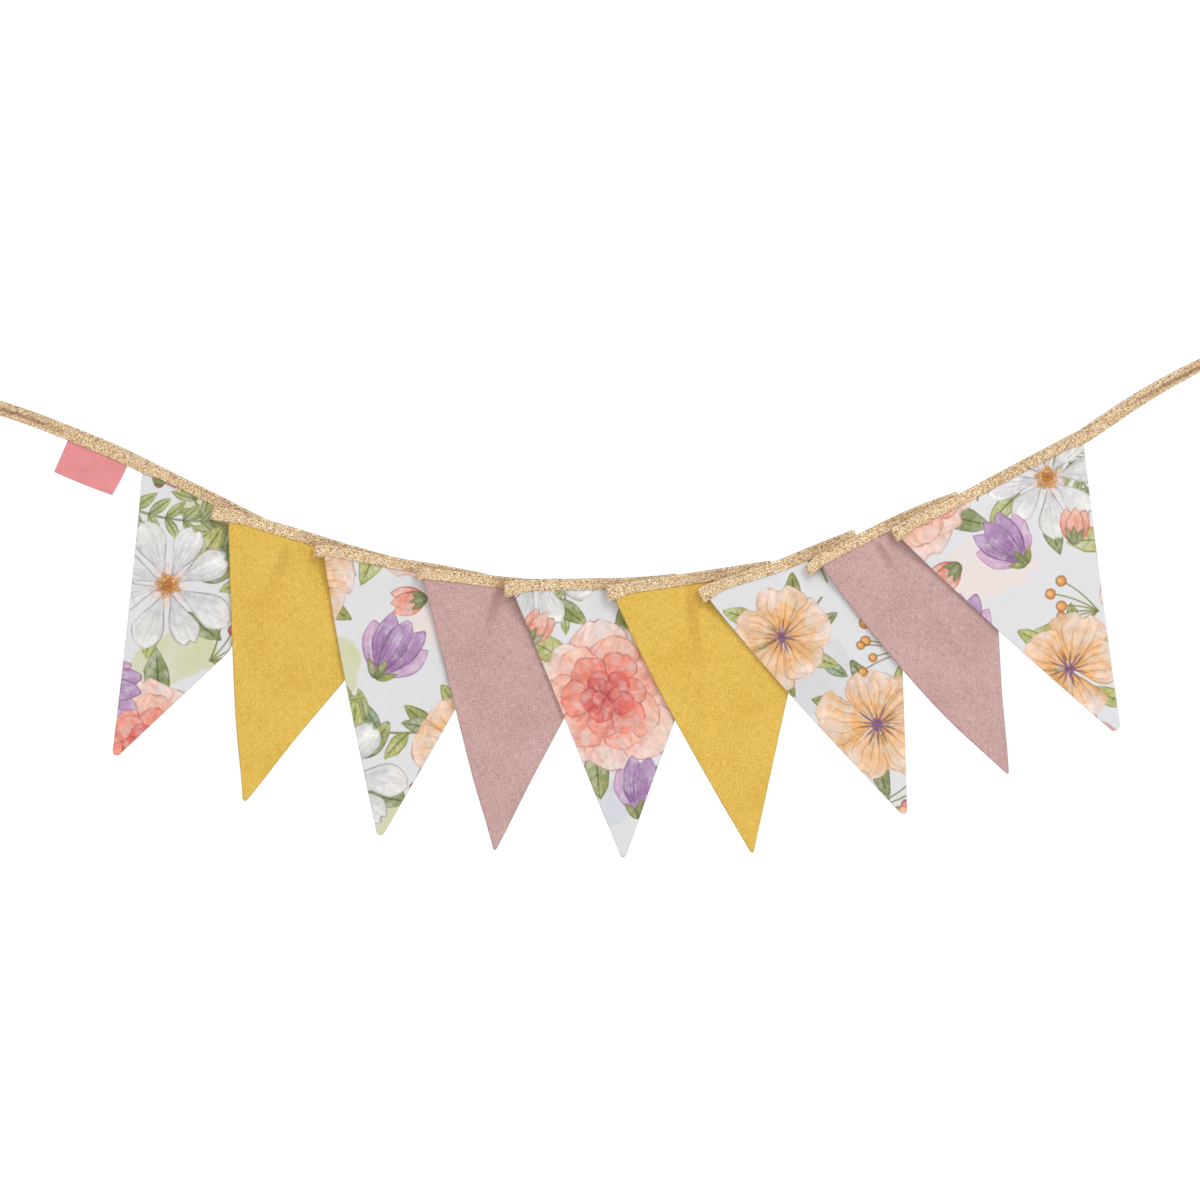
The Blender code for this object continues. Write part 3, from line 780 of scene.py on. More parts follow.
def flag_mesh(number, step, back_step):
    """A flag's points, triangles and flat places: its face, its back and the rim between them."""
    flag = FLAGS[number - 1]
    face, back = cloth_rows(number, step), cloth_rows(number, back_step)
    face_numbers = row_numbers(face, 0)
    back_numbers = row_numbers(back, face_numbers[-1][-1] + 1)
    flat, down = (np.concatenate(values) for values in zip(*face, *back))
    side = np.where(np.arange(len(flat)) < back_numbers[0][0], CLOTH_THICK / 2, -CLOTH_THICK / 2)[:, None]
    faces = rows_joined(face, face_numbers) + [part[:, ::-1] for part in rows_joined(back, back_numbers)]
    face_rim, face_at = outline(face, face_numbers, flag)
    back_rim, back_at = outline(back, back_numbers, flag)
    rim_flat, rim_down = pushed_out(flat[face_rim], down[face_rim], RIM_ROUND)
    rim = len(flat) + np.arange(len(face_rim))
    rim[-1] = rim[0]
    faces.append(zipped(face_rim, face_at, rim, face_at))
    faces.append(zipped(rim, face_at, back_rim, back_at))
    flat, down = np.append(flat, rim_flat[:-1]), np.append(down, rim_down[:-1])
    side = np.concatenate((side, np.zeros((len(rim) - 1, 1))))
    points = cloth_points(number, flat, down, side)
    return points, np.concatenate(faces), np.stack((flat, -down), axis=1), side[:, 0] < 0.0


def build_flag(number, material):
    flag = FLAGS[number - 1]
    has_print = flag.cloth == "floral"
    sizes = (PRINT_STEP, PRINT_BACK_STEP) if has_print else (PLAIN_STEP, PLAIN_BACK_STEP)
    points, faces, flat, is_back = flag_mesh(number, *sizes)
    piece = new_piece(f"{flag.cloth}_flag_{number}", points, faces, material, flat)
    if has_print:
        print_on(piece, number, flat, is_back)
    else:
        # painted shade: the linen is darkened in its creases, by their depth
        painted_crease_shade = crease_depth(number, flat[:, 0], -flat[:, 1]) / CREASE_FULL
        keep_values(piece, "crease", np.clip(painted_crease_shade, 0.0, 1.0))
    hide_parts(f"flag_{number}")
    return piece


# The label

def build_label(material):
    """A bare piece of ribbon with its top edge in the tape and one corner curling forward."""
    along, up = direction(LABEL), upward(LABEL)
    across = np.linspace(0.0, 1.0, round(LABEL.width / LABEL_STEP))
    below = np.linspace(0.0, 1.0, round((LABEL.drop + LABEL_TUCK) / LABEL_STEP))
    right, down = (grid.ravel() for grid in np.meshgrid(across, below, indexing="ij"))
    lift = mix(LABEL_TUCK, -LABEL.drop, down)
    bend = np.maximum(0.0, right + down - LABEL_CURL_START) ** 2
    wave = LABEL_WAVE * np.sin(right * LABEL_WAVE_RUN + LABEL_WAVE_START)
    curl = LABEL_CURL * bend + wave * smooth(0.2, 1.0, down)
    drawn = LABEL_DRAW_IN * bend
    middle = np.array((LABEL.x, 0.0, LABEL.z)) + (right * LABEL.width - drawn)[:, None] * along
    middle = middle + (lift + drawn)[:, None] * up
    front = np.array((0.0, -1.0, 0.0))
    sides = [middle + (curl + reach)[:, None] * front for reach in (LABEL_THICK / 2, -LABEL_THICK / 2)]
    flat = np.stack((right * LABEL.width, lift), axis=1)
    piece = new_piece("pink_label", np.concatenate(sides), grid_faces(len(across), len(below)), material,
                      np.concatenate((flat, flat)))
    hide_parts("label")
    return piece


# The print: washes of colour with thin ink lines, painted on the cloth's points

REPEAT = 320.0
LINE = 0.33  # half the softness of a painted edge
WASH = 0.42  # how much a wash thins out where it is palest
SHOW_THROUGH = 0.45  # how much of the print shows on the back
MOTIF_REACH = 90.0  # no motif reaches further than this
NEXT_DOT = 2.39996  # the angle from one dot of a cluster to the next, in radians
BOW_POINTS = 30  # points along a painted stem
RUN, RUN_SIZE = 0.7, 8.0  # how unevenly a petal's two colours run into each other, and how finely
STREAK = 0.12  # how strong its long streaks are
CLOUD, CLOUD_SIZE = 0.16, 4.0  # how cloudy its colour is, and how finely
WASH_START, WASH_FULL, WASH_SIZE = 0.45, 0.8, 7.0
POOL, POOL_WIDTH = 0.22, 0.9  # the darker rim where the colour dried
VEINS, VEIN_WIDTH = 2.6, 0.07  # veins on each half, and their width as a share of their pitch
RIB_WIDTH = 0.55
SIDE_RIBS, SIDE_RIB_WIDTH = 6, 0.10  # the same for the ribs of a leaf
INK_INSET, INK_WIDTH = 0.35, 0.55  # how far inside the edge the ink line runs, and its width
STEM_INSET, STEM_INK = 0.2, 0.5
DOT_INK = 0.45
BERRY_INSET = 0.1

SCREEN_COLOURS = {
    "ground": (224, 224, 226),
    "coral": (232, 120, 104),
    "salmon": (240, 158, 140),
    "peach": (244, 200, 180),
    "blush": (243, 220, 210),
    "rose": (206, 92, 98),
    "lilac": (196, 164, 202),
    "orchid": (218, 178, 206),
    "plum": (148, 104, 152),
    "orange": (236, 168, 92),
    "amber": (214, 140, 66),
    "olive": (170, 172, 98),
    "lime": (200, 202, 134),
    "sage": (158, 168, 120),
    "moss": (122, 132, 84),
    "ink": (116, 102, 94),
    "brown": (134, 102, 82),
    "milk": (236, 234, 231),
    "cloud": (208, 205, 208),
    "teal": (132, 166, 140),
    "haze": (202, 207, 216),
}
PALETTE = {name: np.array(value) / 255.0 for name, value in SCREEN_COLOURS.items()}


class Paint:
    """Points of cloth laid flat, and the colours painted on them so far."""

    def __init__(self, x, y):
        self.x, self.y = x, y
        self.colours = np.tile(PALETTE["ground"], (len(x), 1))

    def near(self, x, y, reach):
        return np.flatnonzero((np.abs(self.x - x) < reach) & (np.abs(self.y - y) < reach))

    def cover(self, points, colour, strength):
        colour = np.clip(colour, 0.0, 1.0)
        self.colours[points] = mix(self.colours[points], colour, strength[:, None])

    def glaze(self, points, colour, strength):
        """Darkens what is there with a thin colour."""
        self.colours[points] *= 1.0 - strength[:, None] * (1.0 - colour)


def blade(paint, x, y, turn, length, width, colours, seed, peak=0.6, wave=0.07, veins=0.25, ink=0.5,
          bend=0.0, midrib=0.0, notch=0.0, fill=0.95):
    """A petal or leaf that starts at x, y and points along turn, in degrees.

    colours: at its base and its tip. peak: where along it is widest. wave: how wavy its edge is.
    notch: how deep its end is split. bend: how far its end strays sideways. veins, midrib, ink
    and fill: how strong they are.
    """
    points = paint.near(x, y, length * 1.15 + abs(bend))
    if not len(points):
        return
    c, s = cos_sin(turn)
    dx, dy = paint.x[points] - x, paint.y[points] - y
    a, b = dx * c + dy * s, -dx * s + dy * c
    b = b - bend * (a / length) ** 2
    share = np.clip(a / length, 0.0, 1.0)
    rough = noise(share * 5 + seed * 3.1, np.sign(b) * 2.0 + seed, seed) - 0.5
    half = width / 2 * np.sin(math.pi * share ** (math.log(0.5) / math.log(peak))) ** 0.8
    half = half * (1.0 + wave * 4 * rough * share)
    dent = notch * bell(b, width * 0.12)
    reach = length * (1.0 - dent + wave * (noise(b / width * 5, b * 0 + seed, seed + 5) - 0.5))
    inside = np.minimum(half - np.abs(b), np.minimum(a, reach - a) * 0.7)
    cover = smooth(-LINE, LINE, inside)
    used = cover > 0.0
    if not used.any():
        return
    points, a, b, share, half, inside, cover = (v[used] for v in (points, a, b, share, half, inside, cover))
    base, tip = PALETTE[colours[0]], PALETTE[colours[1]]
    px, py = paint.x[points], paint.y[points]
    run = np.clip(share + RUN * (mottle(px, py, RUN_SIZE, seed) - 0.5), 0.0, 1.0)[:, None]
    across = b / np.maximum(half, 0.4)
    streak = noise(across * 7 + seed, share * 2.2, seed + 9)[:, None]
    colour = mix(base, tip, run) * (1.0 - STREAK * (streak - 0.4))
    colour = colour * (1.0 - CLOUD * (mottle(px, py, CLOUD_SIZE, seed + 4)[:, None] - 0.5))
    lift = smooth(WASH_START, WASH_FULL, mottle(px, py, WASH_SIZE, seed + 6))[:, None]
    paint.cover(points, mix(colour, PALETTE["ground"], WASH * lift), cover * fill)
    paint.glaze(points, base, np.exp(-np.maximum(inside, 0.0) / POOL_WIDTH) * POOL * cover)
    if veins:
        wander = 0.25 * (noise(share * 4, across * 0, seed + 2) - 0.5)
        phase = np.mod(across * VEINS + seed * 0.37 + wander, 1.0) - 0.5
        fade = smooth(0.02, 0.15, share) * smooth(0.95, 0.35, share)
        paint.glaze(points, base * 0.75, bell(phase, VEIN_WIDTH) * fade * veins * cover)
    if midrib:
        rib = bell(b, RIB_WIDTH) * smooth(1.0, 0.75, share)
        phase = np.mod(share * SIDE_RIBS - np.abs(across) * 0.9, 1.0) - 0.5
        side = bell(phase, SIDE_RIB_WIDTH) * smooth(0.95, 0.5, np.abs(across))
        paint.glaze(points, PALETTE["moss"], (rib * 0.75 + side * 0.28) * midrib * cover)
    if ink:
        strength = 0.35 + 0.65 * smooth(0.3, 0.7, noise(a / 7.0, across * 0.7 + seed, seed + 3))
        paint.glaze(points, PALETTE["ink"], bell(inside - INK_INSET, INK_WIDTH) * strength * ink * cover)


def bowed(x, y, turn, size, bow, seed):
    """The start, middle and end of a stem that grows along turn and bows to one side."""
    hand = 1 if seed % 2 else -1
    c, s = cos_sin(turn)
    start = np.array((x, y), float)
    middle = start + size * 0.5 * np.array((c, s)) + size * bow * hand * np.array((-s, c))
    return start, middle, start + size * np.array((c, s))


def on_bow(ends, t):
    """A point on the curve that leaves the first of three points for the last."""
    start, middle, end = (np.array(p, float) for p in ends)
    return (1 - t) ** 2 * start + 2 * t * (1 - t) * middle + t * t * end


def stem(paint, ends, width, colour, seed, ink=0.35):
    """A stem that leaves the first of three points for the last, drawn towards the middle one."""
    line = on_bow(ends, np.linspace(0.0, 1.0, BOW_POINTS)[:, None])
    centre, reach = (line.min(0) + line.max(0)) / 2, np.ptp(line, axis=0).max() / 2 + width * 2
    points = paint.near(centre[0], centre[1], reach)
    if not len(points):
        return
    px, py = paint.x[points], paint.y[points]
    nearest = np.full(len(points), np.inf)
    for (ax, ay), (bx, by) in zip(line[:-1], line[1:]):
        dx, dy = bx - ax, by - ay
        k = np.clip(((px - ax) * dx + (py - ay) * dy) / (dx * dx + dy * dy), 0.0, 1.0)
        nearest = np.minimum(nearest, np.hypot(px - ax - k * dx, py - ay - k * dy))
    half = width / 2 * (0.8 + 0.4 * noise(px / 11, py / 11, seed))
    cover = smooth(-LINE, LINE, half - nearest)
    tone = PALETTE[colour] * (0.92 + 0.16 * mottle(px, py, 6.0, seed)[:, None])
    paint.cover(points, tone, cover * 0.9)
    paint.glaze(points, PALETTE["ink"], bell(half - nearest - STEM_INSET, STEM_INK) * ink * (cover > 0.0))


def dots(paint, x, y, spread, count, size, colour, seed, ink=0.3):
    """A round cluster of little dots, such as a flower's middle."""
    rng = np.random.default_rng(seed)
    for i in range(count):
        radius, angle = spread * math.sqrt((i + 0.5) / count), i * NEXT_DOT
        cx = x + radius * math.cos(angle) + rng.normal() * 0.3
        cy = y + radius * math.sin(angle) + rng.normal() * 0.3
        dot = size * (0.8 + 0.4 * rng.random())
        tone = 0.9 + 0.15 * rng.random()
        points = paint.near(cx, cy, dot * 2)
        if len(points):
            inside = dot - np.hypot(paint.x[points] - cx, paint.y[points] - cy)
            paint.cover(points, PALETTE[colour] * tone, smooth(-LINE, LINE, inside) * 0.9)
            paint.glaze(points, PALETTE["ink"], bell(inside, DOT_INK) * ink)


# What the blooms are made of. Lengths, widths and sizes are shares of the bloom's own size.
Ring = namedtuple("Ring", "turn count length width base tip peak wave notch veins ink fill",
                  defaults=(0.6, 0.07, 0.0, 0.25, 0.4, 0.95))
Dots = namedtuple("Dots", "spread count size colour")
Fan = namedtuple("Fan", "spreads length width base tip seed peak wave veins ink bend",
                 defaults=(0.0, 0.4, 0.0))
Bloom = namedtuple("Bloom", "rings dots")
ROSE = Bloom((
    Ring(0, 8, 1.0, 0.72, "salmon", "blush", 0.68, 0.12, 0.06, ink=0.42),
    Ring(20, 7, 0.78, 0.60, "coral", "peach", 0.68, 0.12, 0.05),
    Ring(5, 6, 0.56, 0.44, "coral", "salmon", 0.66, 0.10),
    Ring(31, 5, 0.36, 0.32, "rose", "coral", 0.62, 0.08),
    Ring(0, 4, 0.19, 0.18, "rose", "salmon", ink=0.45),
), ())
COSMOS = Bloom((
    Ring(0, 8, 1.0, 0.46, "cloud", "milk", 0.72, 0.06, 0.05, 0.35, 0.55),
    Ring(22, 8, 0.35, 0.10, "peach", "blush", 0.5, veins=0.0, ink=0.1, fill=0.6),
), (Dots(0.17, 26, 0.030, "orange"), Dots(0.08, 9, 0.026, "amber")))
BLOSSOM = Bloom((
    Ring(0, 5, 1.0, 0.95, "orange", "blush", 0.66, 0.16, 0.08, 0.5, 0.38),
    Ring(10, 14, 0.36, 0.035, "plum", "brown", 0.5, 0.0, veins=0.0, ink=0.0, fill=0.8),
), (Dots(0.09, 8, 0.03, "plum"),))
TULIP = (
    Fan((-34, 34), 0.86, 0.36, "lilac", "orchid", 0, 0.6, 0.08, 0.45, 0.45, -0.05),
    Fan((-17, 17, 0), 1.0, 0.36, "plum", "lilac", 2, 0.6, 0.08, 0.45, 0.45, -0.05),
    Fan((-50, 50, 0), 0.32, 0.12, "moss", "olive", 8, 0.4, 0.07),
)
BUD = (
    Fan((-16, 16, 0), 1.0, 0.5, "coral", "peach", 0, 0.5, 0.05, 0.3, 0.45),
    Fan((-30, 30, 4), 0.52, 0.20, "moss", "sage", 5, 0.38, 0.07),
)


def petals(paint, x, y, turn, size, seed, ring):
    """One ring of petals all round a middle."""
    rng = np.random.default_rng(seed)
    for i in range(ring.count):
        out = turn + ring.turn + 360.0 * i / ring.count + rng.normal() * 4
        grown = 1.0 + rng.normal() * 0.05
        blade(paint, x, y, out, size * ring.length * grown, size * ring.width * grown,
              (ring.base, ring.tip), seed * 31 + i, peak=ring.peak, wave=ring.wave, veins=ring.veins,
              ink=ring.ink, bend=rng.normal() * 1.5, notch=ring.notch, fill=ring.fill)


def open_bloom(bloom):
    """Draws a bloom seen from the front: its rings of petals, then its dots."""
    def draw(paint, x, y, turn, size, seed):
        for i, ring in enumerate(bloom.rings):
            petals(paint, x, y, turn, size, seed + i, ring)
        for i, spot in enumerate(bloom.dots):
            dots(paint, x, y, size * spot.spread, spot.count, size * spot.size, spot.colour, seed + 2 * i)
    return draw


def side_bloom(fans):
    """Draws a bloom seen from the side: fans of petals and sepals that open along turn."""
    def draw(paint, x, y, turn, size, seed):
        for fan in fans:
            for i, spread in enumerate(fan.spreads):
                blade(paint, x, y, turn + spread, size * fan.length, size * fan.width,
                      (fan.base, fan.tip), seed + fan.seed + i, peak=fan.peak, wave=fan.wave,
                      veins=fan.veins, ink=fan.ink, bend=spread * fan.bend)
    return draw


def sprig(paint, x, y, turn, size, seed):
    """A stem with leaves in pairs, growing along turn."""
    pairs = 5
    colours = ("sage", "lime")
    ends = bowed(x, y, turn, size, 0.13, seed)
    stem(paint, ends, 1.5, "sage", seed)
    for i in range(pairs):
        t = 0.16 + 0.74 * i / (pairs - 1)
        px, py = on_bow(ends, t)
        along = turn + (0.5 - t) * 30 * (1 if seed % 2 else -1)
        length = size * (0.34 - 0.12 * t)
        for side in (-1, 1):
            blade(paint, px, py, along + side * (52 - 12 * t), length, length * 0.40, colours,
                  seed * 7 + i * 2 + side, peak=0.45, wave=0.05, veins=0.0, midrib=0.8, ink=0.4,
                  bend=side * 1.2)
    blade(paint, *ends[2], turn - 8, size * 0.24, size * 0.1, colours, seed + 77, peak=0.45, veins=0.0,
          midrib=0.8, ink=0.4)


def trail(paint, x, y, turn, size, seed):
    """A long curving stem with large leaves on either side in turn."""
    rng = np.random.default_rng(seed)
    ends = bowed(x, y, turn, size, 0.22, seed)
    stem(paint, ends, 1.7, "olive", seed)
    for i in range(5):
        t = 0.12 + 0.2 * i
        px, py = on_bow(ends, t)
        side = 1 if i % 2 else -1
        length = size * (0.36 - 0.14 * t)
        colours = (("moss", "olive"), ("olive", "lime"), ("teal", "sage"))[(seed + i) % 3]
        along = turn + (0.5 - t) * 50 * (1 if seed % 2 else -1)
        blade(paint, px, py, along + side * (46 + rng.normal() * 6), length, length * 0.44, colours,
              seed * 5 + i, peak=0.46, wave=0.09, veins=0.0, midrib=0.9, bend=side * length * 0.08)


def bloom_leaves(paint, x, y, turn, size, seed):
    """Leaves that stand out from behind a bloom of that size."""
    rng = np.random.default_rng(seed)
    for i, spread in enumerate((0, 52, 115, 170, 232, 300)):
        out = turn + spread + rng.normal() * 8
        c, s = cos_sin(out)
        length = size * (0.72 + 0.16 * rng.random())
        colours = (("olive", "lime"), ("moss", "sage"), ("moss", "olive"))[(seed + i) % 3]
        blade(paint, x + size * 0.55 * c, y + size * 0.55 * s, out + 12, length, length * 0.42, colours,
              seed * 3 + i, peak=0.48, wave=0.1, veins=0.0, midrib=1.0, bend=length * 0.08)


def berry(paint, x, y, size, colours, seed):
    """A round berry, darker at its rim, with a light spot."""
    points = paint.near(x, y, size * 1.5)
    if not len(points):
        return
    px, py = paint.x[points] - x, paint.y[points] - y
    uneven = noise(px / size * 1.5 + seed, py / size * 1.5, seed) - 0.5
    inside = size * (1.0 + 0.12 * uneven) - np.hypot(px, py)
    tone = smooth(0.1, 0.8, inside / size)[:, None]
    colour = mix(PALETTE[colours[0]], PALETTE[colours[1]], tone)
    paint.cover(points, colour, smooth(-LINE, LINE, inside) * 0.95)
    spot = bell(np.hypot(px + size * 0.3, py - size * 0.3), size * 0.35)
    paint.cover(points, PALETTE["milk"], spot * 0.45)
    paint.glaze(points, PALETTE["ink"], bell(inside - BERRY_INSET, DOT_INK) * 0.55)


def berries(paint, x, y, turn, size, seed):
    """A branching spray of short stalks, each with a berry."""
    rng = np.random.default_rng(seed)
    colours = (("amber", "orange"), ("rose", "coral"))[seed % 3 == 0]
    for i, spread in enumerate((-48, -30, -16, -4, 10, 22, 38, 50)):
        angle = math.radians(turn + spread + rng.normal() * 4)
        reach = size * (0.62 + 0.38 * rng.random())
        end = (x + reach * math.cos(angle), y + reach * math.sin(angle))
        bow = (x + reach * 0.6 * math.cos(angle - 0.2), y + reach * 0.6 * math.sin(angle - 0.2))
        stem(paint, ((x, y), bow, end), 0.9, "olive", seed + i)
        berry(paint, *end, size * (0.075 + 0.03 * rng.random()), colours, seed + i)


def blot(paint, x, y, turn, size, seed):
    """A pale wash of colour, a little darker where it dried at its rim."""
    points = paint.near(x, y, size * 1.6)
    if not len(points):
        return
    px, py = paint.x[points] - x, paint.y[points] - y
    c, s = cos_sin(turn)
    away = np.hypot(px * c + py * s, (py * c - px * s) * 1.5)
    inside = size * (0.75 + 0.6 * mottle(px + 90, py + 90, size * 0.7, seed)) - away
    colour = PALETTE[("lime", "blush", "cloud", "haze")[seed % 4]]
    strength = smooth(-1.5, 3.0, inside) * (0.30 + 0.35 * mottle(px + 50, py, size * 0.5, seed + 3))
    paint.cover(points, colour, np.clip(strength + bell(inside - 1.0, 1.6) * 0.12, 0.0, 1.0))


# The repeat: what draws each kind of motif, and its places as x, y, turn and size
MOTIF_KINDS = (
    (blot, ((60, 50, 20, 34), (186, 140, 70, 30), (276, 190, 0, 34), (130, 262, 40, 30), (14, 300, 0, 28),
            (230, 20, 50, 30))),
    (trail, ((4, 40, 48, 104), (158, 8, 118, 100), (318, 128, 196, 104), (96, 206, 12, 96),
             (214, 318, -52, 98), (58, 308, -24, 92))),
    (sprig, ((228, 104, 150, 74), (292, 236, 84, 76), (36, 262, -80, 68), (132, 96, 20, 70),
             (150, 318, 200, 66))),
    (bloom_leaves, ((78, 132, 20, 60), (246, 270, 60, 56), (196, 62, 30, 44), (158, 214, 80, 42),
                    (26, 226, 10, 42), (292, 92, 45, 38), (112, 300, 0, 36))),
    (berries, ((252, 30, 60, 44), (12, 120, 160, 42), (196, 258, 130, 40), (132, 158, -40, 40),
               (318, 36, 250, 40), (72, 214, 100, 40))),
    (open_bloom(ROSE), ((78, 132, 10, 60), (246, 270, 40, 56))),
    (open_bloom(COSMOS), ((196, 62, 5, 50), (26, 226, 25, 46))),
    (open_bloom(BLOSSOM), ((158, 214, 15, 46), (292, 92, 50, 42), (112, 300, 80, 38))),
    (side_bloom(TULIP), ((222, 138, 62, 52), (302, 176, 108, 46), (100, 40, 78, 48), (180, 288, 20, 44),
                         (46, 8, 130, 42))),
    (side_bloom(BUD), ((150, 122, 95, 30), (20, 172, 60, 28), (258, 200, 190, 28), (14, 88, 20, 26),
                       (80, 246, -60, 26), (292, 20, 100, 26))),
)
MOTIFS = [(draw, *spot) for draw, spots in MOTIF_KINDS for spot in spots]

# Where each printed flag is cut from the repeat, and how it is turned, in degrees
Cut = namedtuple("Cut", "x y turn")
CUTS = {
    1: Cut(136, 124, 4),
    3: Cut(180, 226, -6),
    5: Cut(10, 210, 0),
    7: Cut(70, 345, 4),
    9: Cut(228, 238, 0),
}


def repeats(start, values):
    """Every place of a motif that can reach the values, one repeat apart."""
    low, high = values.min() - MOTIF_REACH, values.max() + MOTIF_REACH
    counts = range(math.floor((low - start) / REPEAT), math.ceil((high - start) / REPEAT) + 1)
    return [at for at in (start + i * REPEAT for i in counts) if low < at < high]


def printed(x, y):
    """The colours of the repeat at points of the flat cloth."""
    paint = Paint(x, y)
    for number, (draw, motif_x, motif_y, turn, size) in enumerate(MOTIFS):
        for at_x in repeats(motif_x, x):
            for at_y in repeats(motif_y, y):
                draw(paint, at_x, at_y, turn, size, number * 17 + 3)
    return paint.colours


def linear(colours):
    """Screen colours as light values."""
    return np.where(colours <= 0.04045, colours / 12.92, ((colours + 0.055) / 1.055) ** 2.4)


def print_on(piece, number, flat, is_back):
    """Paints the print on a flag's points, paler on its back."""
    cut = CUTS[number]
    c, s = cos_sin(cut.turn)
    colours = printed(cut.x + flat[:, 0] * c - flat[:, 1] * s, cut.y + flat[:, 0] * s + flat[:, 1] * c)
    shown = np.where(is_back, SHOW_THROUGH, 1.0)[:, None]
    colours = linear(mix(PALETTE["ground"], colours, shown))
    layer = piece.data.attributes.new("print", "FLOAT_COLOR", "POINT")
    with_alpha = np.concatenate((colours, np.ones((len(colours), 1))), axis=1)
    layer.data.foreach_set("color", with_alpha.astype(np.float32).ravel())


# Materials

def new_material(name, roughness, **inputs):
    """A material with a principled shader. inputs: socket names, with _ for a space."""
    material = bpy.data.materials.new(name)
    material.use_nodes = True
    shader = material.node_tree.nodes["Principled BSDF"]
    shader.inputs["Roughness"].default_value = roughness
    for key, value in inputs.items():
        shader.inputs[key.replace("_", " ")].default_value = value
    return material, material.node_tree, shader


def new_node(tree, kind, links=(), **inputs):
    """Adds a node. links: socket and source pairs. inputs: values, with _ for a space."""
    node = tree.nodes.new("ShaderNode" + kind)
    for key, value in inputs.items():
        if hasattr(node, key):
            setattr(node, key, value)
        else:
            node.inputs[key.replace("_", " ")].default_value = value
    for socket, source in links:
        tree.links.new(source, node.inputs[socket])
    return node


def maths(tree, operation, a, b=None, clamp=False):
    """One sum of two numbers or sockets."""
    node = tree.nodes.new("ShaderNodeMath")
    node.operation = operation
    node.use_clamp = clamp
    for socket, value in zip(node.inputs, (a, b)):
        if isinstance(value, bpy.types.NodeSocket):
            tree.links.new(value, socket)
        elif value is not None:
            socket.default_value = value
    return node.outputs[0]


def weighted(tree, *parts, start=None, clamp=False):
    """The sum of some sockets, each times its weight, and of a start."""
    total = start
    for socket, weight in parts:
        part = maths(tree, "MULTIPLY", socket, weight)
        total = part if total is None else maths(tree, "ADD", part, total, clamp)
    return total


def attribute(tree, name, output="Fac"):
    """What the piece's points hold under that name."""
    return new_node(tree, "Attribute", attribute_name=name).outputs[output]


def flat_place(tree, scale):
    """The place on the flat cloth, in units of scale, a size across and one along, in millimetres."""
    uv = new_node(tree, "UVMap", uv_map="cloth")
    mapping = new_node(tree, "Mapping", [("Vector", uv.outputs["UV"])])
    mapping.inputs["Scale"].default_value = (1 / (scale[0] * MM), 1 / (scale[1] * MM), 1.0)
    return mapping.outputs["Vector"]


def flat_noise(tree, scale, detail=2.0):
    """Noise on the flat cloth, stretched to a size across and one along."""
    node = new_node(tree, "TexNoise", [("Vector", flat_place(tree, scale))], noise_dimensions="2D",
                    Scale=1.0, Detail=detail)
    return node.outputs["Fac"]


def thread_noise(tree, thick, long):
    """The uneven threads of a cloth, one way and the other."""
    return flat_noise(tree, (thick, long)), flat_noise(tree, (long, thick))


def object_noise(tree, scale, detail):
    """Noise in the room round a piece."""
    coordinates = new_node(tree, "TexCoord").outputs["Object"]
    return new_node(tree, "TexNoise", [("Vector", coordinates)], Scale=scale, Detail=detail).outputs["Fac"]


def weave_height(tree, pitch):
    """The relief of a plain weave: threads that pass over and under each other."""
    parts = new_node(tree, "SeparateXYZ", [("Vector", flat_place(tree, (pitch, pitch)))])
    across, along = (maths(tree, "SINE", maths(tree, "MULTIPLY", parts.outputs[k], math.pi)) for k in "XY")
    return maths(tree, "ABSOLUTE", maths(tree, "MULTIPLY", across, along))


def ramp(tree, value, stops):
    """Colours along a value. stops: (place, colour) pairs."""
    node = new_node(tree, "ValToRGB", [("Fac", value)])
    elements = node.color_ramp.elements
    while len(elements) < len(stops):
        elements.new(1.0)
    for element, (at, colour) in zip(elements, stops):
        element.position = at
        element.color = (*linear(np.array(colour) / 255.0), 1.0)
    return node.outputs["Color"]


def shaded(tree, colour, amount, darker):
    """A colour multiplied by another one, as far as the amount says."""
    node = new_node(tree, "Mix", data_type="RGBA", blend_type="MULTIPLY")
    tree.links.new(amount, node.inputs["Factor"])
    tree.links.new(colour, node.inputs[6])
    node.inputs[7].default_value = (*darker, 1.0)
    return node.outputs[2]


def finish(tree, shader, colour, height, distance, strength=1.0, rough=None):
    """Links a material's colour, its relief in millimetres and its roughness."""
    tree.links.new(colour, shader.inputs["Base Color"])
    if rough is not None:
        tree.links.new(rough, shader.inputs["Roughness"])
    bump = new_node(tree, "Bump", [("Height", height)], Strength=strength, Distance=distance * MM)
    tree.links.new(bump.outputs["Normal"], shader.inputs["Normal"])


def linen(name, stops):
    """Plain linen: uneven threads both ways, a fine grain, a soft sheen and painted shade in its creases.
    """
    material, tree, shader = new_material(name, 0.86, Sheen_Weight=0.25, Sheen_Roughness=0.5,
                                          Specular_IOR_Level=0.25)
    warp, weft = thread_noise(tree, *LINEN_THREAD)
    grain = flat_noise(tree, LINEN_GRAIN, 1.0)
    tone = weighted(tree, (warp, 0.26), (weft, 0.22), (grain, 0.44), (flat_noise(tree, LINEN_CLOUD), 0.08))
    # painted shade in the creases, read from the points
    colour = shaded(tree, ramp(tree, tone, stops), attribute(tree, "crease"), CREASE_SHADE)
    relief = weighted(tree, (weave_height(tree, LINEN_PITCH), 0.5), start=tone)
    rough = weighted(tree, (grain, 0.14), start=0.78)
    finish(tree, shader, colour, relief, distance=0.12, strength=0.7, rough=rough)
    return material


